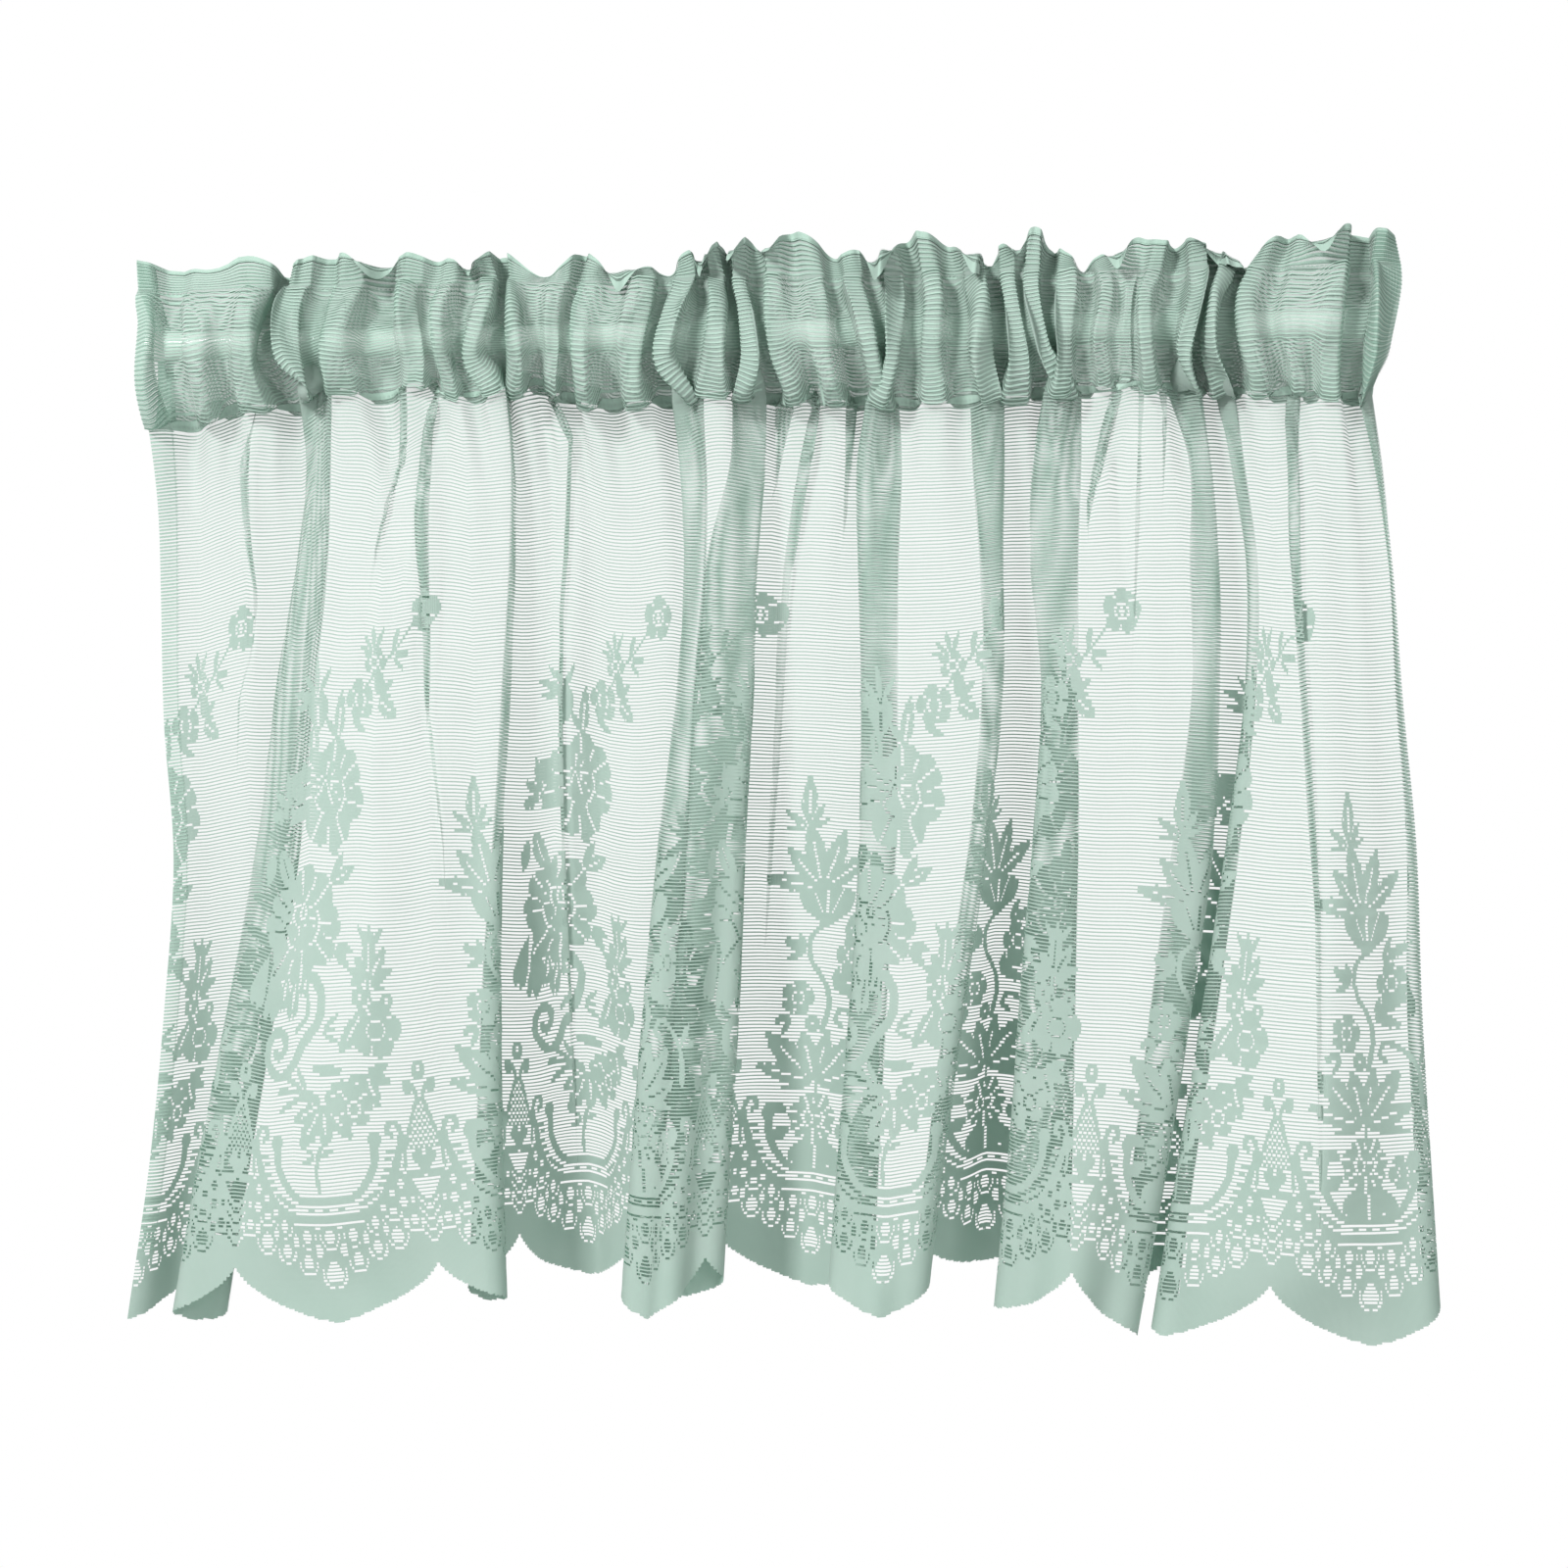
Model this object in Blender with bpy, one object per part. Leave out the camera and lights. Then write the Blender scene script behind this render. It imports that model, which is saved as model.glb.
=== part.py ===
"""A sheer lace valance gathered on a slim curtain rod.

Frame: metres, +Z up. The origin is the middle of the rod's axis. +X runs along the rod, and the
room side of the cloth faces -Y. The cloth is one piece: a ruffled heading, a loose rod pocket
below it, a sheer body hanging in uneven folds, and a scalloped hem. It is one closed sheet solid
in the shape in which it hangs, with an open tube for the rod.
"""

import math

import bmesh
import bpy
import numpy as np

MM = 0.001

# The rod: plain, round and straight
ROD_DIAMETER = 16 * MM
ROD_LENGTH = 702 * MM
ROD_SIDES = 48

# The cloth as it is cut
FLAT_WIDTH = 1600 * MM
SCALLOP_PITCH = 118 * MM
SCALLOP_RISE = 33 * MM
CLOTH_THICKNESS = 1.2 * MM
ROD_CLEARANCE = 2.5 * MM

# Height of the stitching under the ruffle, above the rod's axis
STITCH_LINE = 32 * MM

# Radius of a fold's turns in the pocket, at the pocket's seam and at the hem
POCKET_TURN = 3.2 * MM
SEAM_TURN = 4.2 * MM
HEM_TURN = 9.5 * MM

# The gathers: how far the cloth swings to and fro between its folds, how far they spread along
# the rod, and how much the tight stitching flattens them
RUFFLE = {"swing": math.radians(68), "spread": 1.022, "depth": 0.60}
STITCH = {"swing": math.radians(56), "spread": 1.015, "depth": 0.50}
POCKET = {"swing": math.radians(50), "spread": 1.008, "depth": 0.55}
SEAM = {"swing": math.radians(22), "spread": 1.0, "depth": 0.75}
UNEVENNESS = 0.25

# Between two folds the cloth has a little slack, and near the hem it bellies by what is to spare
LEAST_SLACK = 0.02
LEAST_REACH = 2 * MM
MOST_BELLY = 1.1

# Main folds from left to right, in millimetres. The cloth runs right to "in", turns back to
# "out", and runs on to the right: in front of what it has passed where side is -1, and behind it
# where side is +1. Places are given under the seam, halfway down and at the hem. The cut places
# are the same two turns measured along the flat cloth's lower edge. Ripples lie before the fold.
FOLDS = [
    # name           side  seam in, out  middle in, out  hem in, out   cut in, out   ripples
    ("left roll",     -1, (-244, -264), (-270, -294), (-306, -331), (95, 133), 2),
    ("left pleat",    +1, (-129, -138), (-141, -151), (-137, -164), (332, 376), 3),
    ("middle left",   -1, (-26, -40), (-38, -55), (-60, -72), (544, 567), 3),
    ("middle right",  +1, (8, -15), (1, -30), (-16, -50), (661, 724), 1),
    ("centre roll",   -1, (82, 57), (76, 51), (68, 44), (874, 903), 2),
    ("centre pleat",  +1, (140, 123), (127, 115), (99, 91), (972, 1013), 1),
    ("right roll",    -1, (183, 159), (181, 155), (176, 138), (1125, 1186), 1),
    ("right pleat",   +1, (257, 244), (250, 230), (214, 205), (1289, 1336), 2),
    ("right ramp",    -1, (273, 265), (264, 257), (234, 223), (1369, 1407), 1),
    ("right edge",    +1, (354, 347), (368, 358), (387, 375), (1580, 1600), 3),
]
LEFT_EDGE = (-351, -343, -364)

# Heights above the rod's axis at places along the rod, in millimetres: the ruffle's upper edge
# and the pocket's seam
RUFFLE_LINE = [
    (-360, 50), (-309, 43), (-290, 51), (-270, 41), (-255, 49), (-207, 55), (-184, 45),
    (-143, 52), (-118, 31), (-98, 53), (-85, 41), (-45, 38), (-33, 51), (25, 59), (50, 43),
    (93, 56), (134, 43), (160, 57), (186, 33), (215, 54), (229, 46), (259, 53), (276, 32),
    (291, 48), (328, 55), (359, 47),
]
SEAM_LINE = [
    (-351, -49), (-322, -48), (-296, -36), (-262, -37), (-248, -25), (-216, -34), (-190, -26),
    (-168, -35), (-124, -27), (-92, -39), (-6, -34), (30, -37), (104, -43), (164, -36),
    (235, -35), (302, -42), (357, -40),
]
# How low the middle of each scallop hangs, from the cloth's left edge, in millimetres
SCALLOP_LOWS = [-560, -561, -556, -547, -540, -551, -545, -540, -548, -526, -543, -557, -557, -560]

# Rows of the sheet, as shares of the way down the pocket and the body, and steps between columns
POCKET_ROWS = (0.27, 0.70)
BODY_ROWS = (0.09, 0.24, 0.44, 0.66, 0.86, 1.0)
STEPS_PER_RIPPLE = 5
STEPS_PER_TURN = 3
STEPS_OF_SECTION = 3200

LACE_GREEN = (0.35, 0.56, 0.46, 1.0)
ROD_WHITE = (0.85, 0.85, 0.83, 1.0)


def clear_scene():
    for thing in list(bpy.data.objects):
        bpy.data.objects.remove(thing, do_unlink=True)


def material(name, colour, roughness):
    made = bpy.data.materials.new(name)
    made.use_nodes = True
    shader = made.node_tree.nodes["Principled BSDF"]
    shader.inputs["Base Color"].default_value = colour
    shader.inputs["Roughness"].default_value = roughness
    return made


def linked_object(name, mesh, finish):
    """An object in the scene that holds this bmesh."""
    data = bpy.data.meshes.new(name)
    mesh.to_mesh(data)
    mesh.free()
    data.materials.append(finish)
    made = bpy.data.objects.new(name, data)
    bpy.context.collection.objects.link(made)
    return made


def along_drop(seam, middle, hem, drop):
    """The smooth value that is seam at drop 0, middle at drop 0.5 and hem at drop 1."""
    at_seam = seam * (1 - drop) * (1 - 2 * drop)
    at_middle = middle * 4 * drop * (1 - drop)
    at_hem = hem * drop * (2 * drop - 1)
    return (at_seam + at_middle + at_hem) * MM


def fold_places(drop):
    """Where each fold turns back and turns on again at this drop, along the rod."""
    return [
        [along_drop(*places, drop) for places in zip(seam, middle, hem)]
        for _, _, seam, middle, hem, _, _ in FOLDS
    ]


def turn_angle(overlap, straight, arc):
    """How far the cloth turns at a fold for its layers to overlap by this much."""
    angles = np.radians(np.arange(30, 191, 2))
    bulge = np.where(angles > math.pi / 2, 2 * arc / angles * (1 - np.sin(angles)), 0.0)
    return float(np.interp(overlap, bulge - straight * np.cos(angles), angles))


def section_pieces(drop, turn, swing):
    """The cloth's line seen from above, as (length, first angle, last angle, belly, swing, ripples).

    A stretch between folds is one piece, and a fold is three: a turn back, a straight and a turn on.
    """
    pieces = []
    left, cut_left, front = along_drop(*LEFT_EDGE, drop), 0.0, +1
    for fold, (x_in, x_out) in zip(FOLDS, fold_places(drop)):
        _, side, _, _, _, (cut_in, cut_out), ripples = fold
        ends = 2 if pieces else 1
        reach = max(x_in - left - ends * turn, LEAST_REACH)
        cut = cut_in * MM - cut_left - ends * math.pi * HEM_TURN / 2
        belly = min(2 * math.sqrt(max(0.0, 1 - reach / cut)), MOST_BELLY) * drop
        sway = swing * (1 + UNEVENNESS * math.sin(3.1 * len(pieces)))
        length = reach / ((1 - sway**2 / 4) * (1 - belly**2 / 4) * (1 - LEAST_SLACK))
        pieces.append((length, 0.0, 0.0, front * belly, front * sway, ripples))

        arc = math.pi * turn
        straight_at_seam = x_in - x_out - 2 * turn
        straight_at_hem = (cut_out - cut_in) * MM - math.pi * HEM_TURN
        straight = (1 - drop) * straight_at_seam + drop * straight_at_hem
        straight = max(straight, LEAST_REACH)
        angle = side * turn_angle(x_in - x_out, straight, arc)
        pieces.append((arc, 0.0, angle, 0.0, 0.0, 0))
        pieces.append((straight, angle, angle, 0.0, 0.0, 0))
        pieces.append((arc, angle, 0.0, 0.0, 0.0, 0))
        left, cut_left, front = x_out, cut_out * MM, side
    return pieces[:-1]


def section(drop, turn, swing):
    """The cloth's line seen from above: where its pieces meet, then fine steps along it, x and y."""
    pieces = section_pieces(drop, turn, swing)
    joins = np.concatenate([[0.0], np.cumsum([piece[0] for piece in pieces])])
    run = np.linspace(0.0, joins[-1], STEPS_OF_SECTION)
    angle = np.zeros(STEPS_OF_SECTION)
    for start, (length, first, last, belly, sway, ripples) in zip(joins, pieces):
        inside = (run >= start) & (run <= start + length)
        way = (run[inside] - start) / length
        angle[inside] = first + (last - first) * way + belly * np.sin(2 * math.pi * way)
        drift = 0.3 * UNEVENNESS * np.sin(2 * math.pi * way + start / MM) * np.sin(math.pi * way)
        angle[inside] += sway * np.sin(2 * math.pi * ripples * (way + drift))
    step = run[1] - run[0]
    x = np.cumsum(np.cos(angle)) * step
    y = np.cumsum(np.sin(angle)) * step

    # The middle of each fold goes to its own place, and what lies between moves evenly with it.
    middles = [0.0]
    for number in range(len(FOLDS)):
        last = min(4 * number + 4, len(joins) - 1)
        middles.append((joins[4 * number + 1] + joins[last]) / 2)
    wanted = [along_drop(*LEFT_EDGE, drop)] + [sum(pair) / 2 for pair in fold_places(drop)]
    x += np.interp(run, middles, np.array(wanted) - np.interp(middles, run, x))
    y -= np.interp(run, middles, np.interp(middles, run, y))
    return joins, run, x, y


def columns():
    """Each column of the sheet, as a piece of the section and a share of the way along it."""
    places = []
    for number, piece in enumerate(section_pieces(0.5, SEAM_TURN, SEAM["swing"])):
        kind = number % 4
        steps = STEPS_PER_RIPPLE * piece[5] if kind == 0 else (1 if kind == 2 else STEPS_PER_TURN)
        places += [(number, step / steps) for step in range(steps)]
    return places + [(number, 1.0)]


def flat_places(drop):
    """Where the section's pieces meet, measured across the flat cloth."""
    at_seam = section(0.0, SEAM_TURN, SEAM["swing"])[0]
    at_seam = at_seam * FLAT_WIDTH / at_seam[-1]
    at_hem = [0.0]
    half = math.pi * HEM_TURN / 2
    for _, _, _, _, _, (cut_in, cut_out), _ in FOLDS:
        for cut in (cut_in * MM, cut_out * MM):
            at_hem += [cut - half, cut + half]
    at_hem = np.array(at_hem[: len(at_seam) - 1] + [FLAT_WIDTH])
    return at_seam * (1 - drop) + at_hem * drop


def row(drop, turn, swing, spread, depth):
    """One row of the sheet: x, y and place across the flat cloth for each column."""
    joins, run, x, y = section(drop, turn, swing)
    x *= spread
    y *= depth
    flats = flat_places(drop)
    found = []
    for number, share in columns():
        at = joins[number] + share * (joins[number + 1] - joins[number])
        flat = flats[number] + share * (flats[number + 1] - flats[number])
        found.append((float(np.interp(at, run, x)), float(np.interp(at, run, y)), flat))
    return found


def line_height(x, line):
    places, heights = zip(*line)
    return float(np.interp(x / MM, places, heights)) * MM


def hem_height(flat):
    """The hem's height at a place across the flat cloth: low in a scallop's middle."""
    number = flat / SCALLOP_PITCH
    off = 2 * abs(number - round(number))
    rise = 0.5 * off**1.3 + 0.5 * (1 - math.sqrt(max(0.0, 1 - off * off)))
    low = float(np.interp(number, range(len(SCALLOP_LOWS)), SCALLOP_LOWS))
    return low * MM + SCALLOP_RISE * rise


def add_row(mesh, places, heights, push=0.0):
    return [mesh.verts.new((x, y + push, z)) for (x, y, _), z in zip(places, heights)]


def join_rows(mesh, upper, lower):
    for left in range(len(upper) - 1):
        mesh.faces.new((upper[left], lower[left], lower[left + 1], upper[left + 1]))


def lace_valance():
    """The cloth, row by row as a thin surface, which Solidify gives its thickness."""
    mesh = bmesh.new()
    ruffle = row(0.0, SEAM_TURN, **RUFFLE)
    stitch = row(0.0, POCKET_TURN, **STITCH)
    pocket = row(0.0, POCKET_TURN, **POCKET)
    seam = row(0.0, SEAM_TURN, **SEAM)
    seam_heights = [line_height(x, SEAM_LINE) for x, _, _ in seam]

    top_verts = add_row(mesh, ruffle, [line_height(x, RUFFLE_LINE) for x, _, _ in ruffle])
    stitch_verts = add_row(mesh, stitch, [STITCH_LINE] * len(stitch))
    seam_verts = add_row(mesh, seam, seam_heights)
    join_rows(mesh, top_verts, stitch_verts)

    # The pocket's two layers pass in front of the rod and behind it.
    room = ROD_DIAMETER / 2 + ROD_CLEARANCE + CLOTH_THICKNESS / 2
    depths = [y for _, y, _ in pocket]
    for push in (-room - max(depths), room - min(depths)):
        above = stitch_verts
        for share in POCKET_ROWS:
            heights = [STITCH_LINE + share * (low - STITCH_LINE) for low in seam_heights]
            below = add_row(mesh, pocket, heights, push)
            join_rows(mesh, above, below)
            above = below
        join_rows(mesh, above, seam_verts)

    # The body hangs from the seam, and its folds open towards the hem.
    above = seam_verts
    for drop in BODY_ROWS:
        turn = SEAM_TURN + drop * (HEM_TURN - SEAM_TURN)
        depth = SEAM["depth"] + drop * (1 - SEAM["depth"])
        places = row(drop, turn, SEAM["swing"] * (1 - drop), 1.0, depth)
        lows = [hem_height(flat) for _, _, flat in places]
        heights = [high + drop * (low - high) for high, low in zip(seam_heights, lows)]
        below = add_row(mesh, places, heights)
        join_rows(mesh, above, below)
        above = below

    cloth = linked_object("lace_valance", mesh, material("lace", LACE_GREEN, 0.9))
    wall = cloth.modifiers.new("cloth thickness", "SOLIDIFY")
    wall.solidify_mode = "NON_MANIFOLD"
    wall.nonmanifold_thickness_mode = "CONSTRAINTS"
    wall.nonmanifold_merge_threshold = 0.00001
    wall.thickness = CLOTH_THICKNESS
    wall.offset = 0.0
    return cloth


def curtain_rod():
    """A plain white round rod, level, through the pocket and a little past its ends."""
    mesh = bmesh.new()
    bmesh.ops.create_cone(
        mesh,
        cap_ends=True,
        segments=ROD_SIDES,
        radius1=ROD_DIAMETER / 2,
        radius2=ROD_DIAMETER / 2,
        depth=ROD_LENGTH,
    )
    rod = linked_object("curtain_rod", mesh, material("white paint", ROD_WHITE, 0.35))
    rod.rotation_euler = (0.0, math.pi / 2, 0.0)
    rod.data.shade_smooth()
    rod.data.set_sharp_from_angle(angle=math.radians(40))
    return rod


clear_scene()
curtain_rod()
lace_valance()
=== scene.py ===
# %% [markdown]
# # A sheer lace valance on a curtain rod
#
# The real thing is one cut of warp-knitted lace, gathered on a slim white rod. It has a ruffled
# heading, a rod pocket, a sheer body in uneven folds and a scalloped hem. This lesson makes it in
# three steps. First comes a table of where each point of the flat cloth hangs. Then the lace is
# drawn on a chart, as a lace maker would, with a row for each knitted rib. Last, each rib and each
# closed cell of the chart becomes a ribbon of mesh laid on the hanging cloth.

# %% Frame and real sizes
import math

import bmesh
import bpy
import numpy as np
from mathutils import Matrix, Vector


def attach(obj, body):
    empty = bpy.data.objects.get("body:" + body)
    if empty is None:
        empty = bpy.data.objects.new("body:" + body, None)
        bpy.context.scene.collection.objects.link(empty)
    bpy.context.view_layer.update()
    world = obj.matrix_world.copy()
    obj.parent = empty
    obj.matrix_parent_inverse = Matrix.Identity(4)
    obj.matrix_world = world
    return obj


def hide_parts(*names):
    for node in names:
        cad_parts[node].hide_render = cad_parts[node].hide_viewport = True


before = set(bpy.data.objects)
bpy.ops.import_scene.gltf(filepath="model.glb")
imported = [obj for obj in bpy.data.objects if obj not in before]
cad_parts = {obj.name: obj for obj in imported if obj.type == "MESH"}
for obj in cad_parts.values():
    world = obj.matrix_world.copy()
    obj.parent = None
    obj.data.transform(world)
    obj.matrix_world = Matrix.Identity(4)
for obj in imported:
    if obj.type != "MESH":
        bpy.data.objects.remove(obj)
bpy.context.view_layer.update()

MM = 0.001
FLAT_WIDTH = 1600 * MM
BODY = 515 * MM  # from the pocket's seam to a scallop's lowest point
POCKET_WALL = 71 * MM
HEADING = 18 * MM
TURNED_UNDER = 13 * MM
ROD_RADIUS = 8 * MM

# %% [markdown]
# ## How the cloth hangs
#
# A gathered sheet is a line, seen from above, that runs right, turns back and runs on again. So the
# cloth is a stack of such lines, from the pocket's tight gathers down to the hem's open folds. A
# cloth simulation could find folds too, but not these ones: a table of the main folds, with a row
# for each, puts every fold where it belongs.

# %% The main folds
SEAM_TURN, HEM_TURN = 4.2 * MM, 9.5 * MM
SEAM = {"swing": math.radians(22), "depth": 0.75}
UNEVENNESS, LEAST_SLACK, LEAST_REACH, MOST_BELLY = 0.25, 0.02, 2 * MM, 1.1
STITCH_LINE = 32 * MM

# Heights down the body, 0 at the seam and 1 at the hem, at which each fold's two edges are given.
HEIGHTS = (0, 0.07, 0.18, 0.32, 0.48, 0.65, 0.82, 1)
FOLDS = [
    # name, side, edge where the cloth turns back, edge where it runs on, cut in and out, ripples
    ("left roll", -1, (-242, -244, -246, -254, -262, -276, -291, -306),
     (-259, -257, -262, -273, -283, -298, -315, -331), (95, 133), 2),
    ("left pleat", +1, (-139, -135, -134, -136, -140, -141, -140, -137),
     (-143, -139, -139, -143, -148, -155, -159, -164), (332, 376), 3),
    ("middle left", -1, (-29, -26, -27, -32, -37, -44, -51, -60),
     (-43, -40, -38, -42, -52, -60, -66, -72), (544, 567), 3),
    ("middle right", +1, (5, 7, 4, 2, -2, -5, -10, -16),
     (-7, -10, -25, -33, -38, -45, -52, -61), (661, 724), 1),
    ("centre roll", -1, (82, 84, 83, 83, 83, 77, 72, 68),
     (68, 61, 60, 61, 60, 56, 50, 44), (874, 903), 2),
    ("centre pleat", +1, (140, 142, 142, 142, 134, 122, 110, 99),
     (126, 126, 129, 130, 124, 112, 101, 91), (972, 1013), 1),
    ("right roll", -1, (183, 184, 183, 183, 183, 181, 179, 176),
     (165, 159, 157, 163, 159, 152, 146, 138), (1125, 1186), 1),
    ("right pleat", +1, (252, 257, 261, 261, 257, 245, 231, 214),
     (237, 246, 246, 247, 237, 225, 215, 205), (1289, 1336), 2),
    ("right ramp", -1, (268, 274, 282, 281, 272, 260, 247, 234),
     (263, 268, 276, 275, 265, 252, 238, 223), (1369, 1407), 1),
    ("right edge", +1, (352, 355, 357, 363, 372, 377, 382, 387),
     (339, 346, 353, 357, 363, 364, 369, 375), (1580, 1600), 3),
]
LEFT_EDGE = (-343, -342, -342, -341, -335, -340, -348, -361)
RUFFLE_LINE = [
    (-360, 50), (-309, 43), (-290, 51), (-270, 41), (-255, 49), (-207, 55), (-184, 45),
    (-143, 52), (-118, 31), (-98, 53), (-85, 41), (-45, 38), (-33, 51), (25, 59), (50, 43),
    (93, 56), (134, 43), (160, 57), (186, 33), (215, 54), (229, 46), (259, 53), (276, 32),
    (291, 48), (328, 55), (359, 47),
]
SEAM_LINE = [
    (-351, -49), (-322, -48), (-296, -36), (-262, -37), (-248, -25), (-216, -34), (-190, -26),
    (-168, -35), (-124, -27), (-92, -39), (-6, -34), (30, -37), (104, -43), (164, -36),
    (235, -35), (302, -42), (357, -40),
]
SCALLOP_LOWS = [-560, -561, -556, -547, -540, -551, -545, -540, -548, -526, -543, -557, -557, -560]

# Small tucks that start at the seam: panel, side in front, then drop, place and width in mm.
TUCKS = [
    (0, +1, [(0, -288, 3), (0.01, -288, 3), (0.065, -295, 6), (0.135, -293, 5), (0.2, -288, 3),
             (0.26, -290, 2), (0.32, -298, 2), (0.45, -302, 0)]),
    (1, -1, [(0, -198, 5), (0.065, -199, 6), (0.115, -206, 6), (0.18, -213, 3), (0.25, -217, 0)]),
    (1, +1, [(0, -180, 8), (0.065, -184, 11), (0.13, -186, 11), (0.18, -185, 10),
             (0.225, -183, 7), (0.29, -182, 5), (0.35, -181, 3), (0.48, -172, 2), (0.6, -168, 0)]),
    (2, -1, [(0, -115, 9), (0.045, -105, 5), (0.11, -106, 5), (0.18, -108, 5), (0.25, -111, 4),
             (0.42, -112, 4), (0.7, -110, 3), (0.9, -108, 0)]),
    (4, +1, [(0, 18, 10), (0.03, 15, 8), (0.07, 13, 4), (0.12, 11, 0)]),
    (4, -1, [(0, 36, 12), (0.06, 31, 11), (0.11, 26, 10), (0.18, 20, 7), (0.28, 15, 7),
             (0.39, 12, 5), (0.5, 8, 4), (0.65, 4, 0)]),
    (4, +1, [(0, 56, 7), (0.06, 54, 5), (0.12, 52, 3), (0.18, 50, 0)]),
    (7, +1, [(0, 205, 10), (0.07, 196, 8), (0.115, 190, 4), (0.16, 188, 0)]),
    (7, -1, [(0, 218, 4), (0.1, 217, 3), (0.22, 215, 2), (0.32, 212, 0)]),
    (7, +1, [(0, 231, 4), (0.08, 230, 2), (0.16, 229, 0)]),
    (9, -1, [(0, 301, 12), (0.02, 301, 12), (0.16, 302, 11), (0.28, 305, 7), (0.35, 307, 7),
             (0.43, 309, 6), (0.55, 312, 4), (0.7, 312, 3), (0.9, 312, 0)]),
]
print(len(FOLDS), "main folds,", len(TUCKS), "small tucks,", len(SCALLOP_LOWS), "scallop lows")

# %% [markdown]
# ## From folds to lines
#
# At one height, the cloth from the left edge to the right one crosses each fold three times: it
# runs in front, turns back behind itself and turns again. Round turns join the runs. Curve objects
# could draw these lines, but arrays of points are quicker to blend from the seam to the hem.


# %% Lines of cloth seen from above
def at_height(values, drop):
    """A smooth value at this drop, from values in mm at HEIGHTS."""
    slopes = np.gradient(np.array(values, float), HEIGHTS)
    k = min(max(int(np.searchsorted(HEIGHTS, drop, "right")) - 1, 0), len(HEIGHTS) - 2)
    span = HEIGHTS[k + 1] - HEIGHTS[k]
    t = (drop - HEIGHTS[k]) / span
    return MM * (
        values[k] * (1 + 2 * t) * (1 - t) ** 2 + slopes[k] * span * t * (1 - t) ** 2
        + values[k + 1] * t * t * (3 - 2 * t) + slopes[k + 1] * span * t * t * (t - 1)
    )


def fold_places(drop):
    """The two edges of every fold at this drop."""
    return [[at_height(turns_back, drop), at_height(runs_on, drop)]
            for _, _, turns_back, runs_on, _, _ in FOLDS]


def turn_angle(overlap, straight, arc):
    """How far the cloth turns at a fold for its layers to overlap by this much."""
    angles = np.radians(np.arange(30, 191, 2))
    bulge = np.where(angles > math.pi / 2, 2 * arc / angles * (1 - np.sin(angles)), 0.0)
    return float(np.interp(overlap, bulge - straight * np.cos(angles), angles))


# %% The pieces of one line
def section_pieces(drop, turn, swing):
    """(length, first angle, last angle, belly, swing, ripples) for each piece of the line."""
    pieces = []
    left, cut_left, front = at_height(LEFT_EDGE, drop), 0.0, +1
    for fold, (x_in, x_out) in zip(FOLDS, fold_places(drop)):
        _, side, _, _, (cut_in, cut_out), ripples = fold
        ends = 2 if pieces else 1
        reach = max(x_in - left - ends * turn, LEAST_REACH)
        cut = cut_in * MM - cut_left - ends * math.pi * HEM_TURN / 2
        belly = min(2 * math.sqrt(max(0.0, 1 - reach / cut)), MOST_BELLY) * drop
        sway = swing * (1 + UNEVENNESS * math.sin(3.1 * len(pieces)))
        length = reach / ((1 - sway**2 / 4) * (1 - belly**2 / 4) * (1 - LEAST_SLACK))
        pieces.append((length, 0.0, 0.0, front * belly, front * sway, ripples))

        arc = math.pi * turn
        straight_at_seam = x_in - x_out - 2 * turn
        straight_at_hem = (cut_out - cut_in) * MM - math.pi * HEM_TURN
        straight = (1 - drop) * straight_at_seam + drop * straight_at_hem
        straight = max(straight, LEAST_REACH)
        angle = side * turn_angle(x_in - x_out, straight, arc)
        pieces.append((arc, 0.0, angle, 0.0, 0.0, 0))
        pieces.append((straight, angle, angle, 0.0, 0.0, 0))
        pieces.append((arc, angle, 0.0, 0.0, 0.0, 0))
        left, cut_left, front = x_out, cut_out * MM, side
    return pieces[:-1]


# %% One line as points
STEPS_OF_SECTION = 3200


def section(drop, turn, swing):
    """Where the pieces meet, then fine steps along the line, x and y."""
    pieces = section_pieces(drop, turn, swing)
    joins = np.concatenate([[0.0], np.cumsum([piece[0] for piece in pieces])])
    run = np.linspace(0.0, joins[-1], STEPS_OF_SECTION)
    angle = np.zeros(STEPS_OF_SECTION)
    for start, (length, first, last, belly, sway, ripples) in zip(joins, pieces):
        inside = (run >= start) & (run <= start + length)
        way = (run[inside] - start) / length
        angle[inside] = first + (last - first) * way + belly * np.sin(2 * math.pi * way)
        drift = 0.3 * UNEVENNESS * np.sin(2 * math.pi * way + start / MM) * np.sin(math.pi * way)
        angle[inside] += sway * np.sin(2 * math.pi * ripples * (way + drift))
    step = run[1] - run[0]
    x = np.cumsum(np.cos(angle)) * step
    y = np.cumsum(np.sin(angle)) * step
    middles = [0.0]
    for number in range(len(FOLDS)):
        last = min(4 * number + 4, len(joins) - 1)
        middles.append((joins[4 * number + 1] + joins[last]) / 2)
    wanted = [at_height(LEFT_EDGE, drop)] + [sum(pair) / 2 for pair in fold_places(drop)]
    x += np.interp(run, middles, np.array(wanted) - np.interp(middles, run, x))
    y -= np.interp(run, middles, np.interp(middles, run, y))
    return joins, run, x, y


print("cloth at the seam, mm:", round(section(0.0, SEAM_TURN, SEAM["swing"])[0][-1] / MM))


# %% The same pieces on the flat cloth
def flat_places(drop):
    """Where the line's pieces meet, measured across the flat cloth."""
    at_seam = section(0.0, SEAM_TURN, SEAM["swing"])[0]
    at_seam = at_seam * FLAT_WIDTH / at_seam[-1]
    at_hem = [0.0]
    half = math.pi * HEM_TURN / 2
    for _, _, _, _, (cut_in, cut_out), _ in FOLDS:
        for cut in (cut_in * MM, cut_out * MM):
            at_hem += [cut - half, cut + half]
    at_hem = np.array(at_hem[: len(at_seam) - 1] + [FLAT_WIDTH])
    return at_seam * (1 - drop) + at_hem * drop


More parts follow.
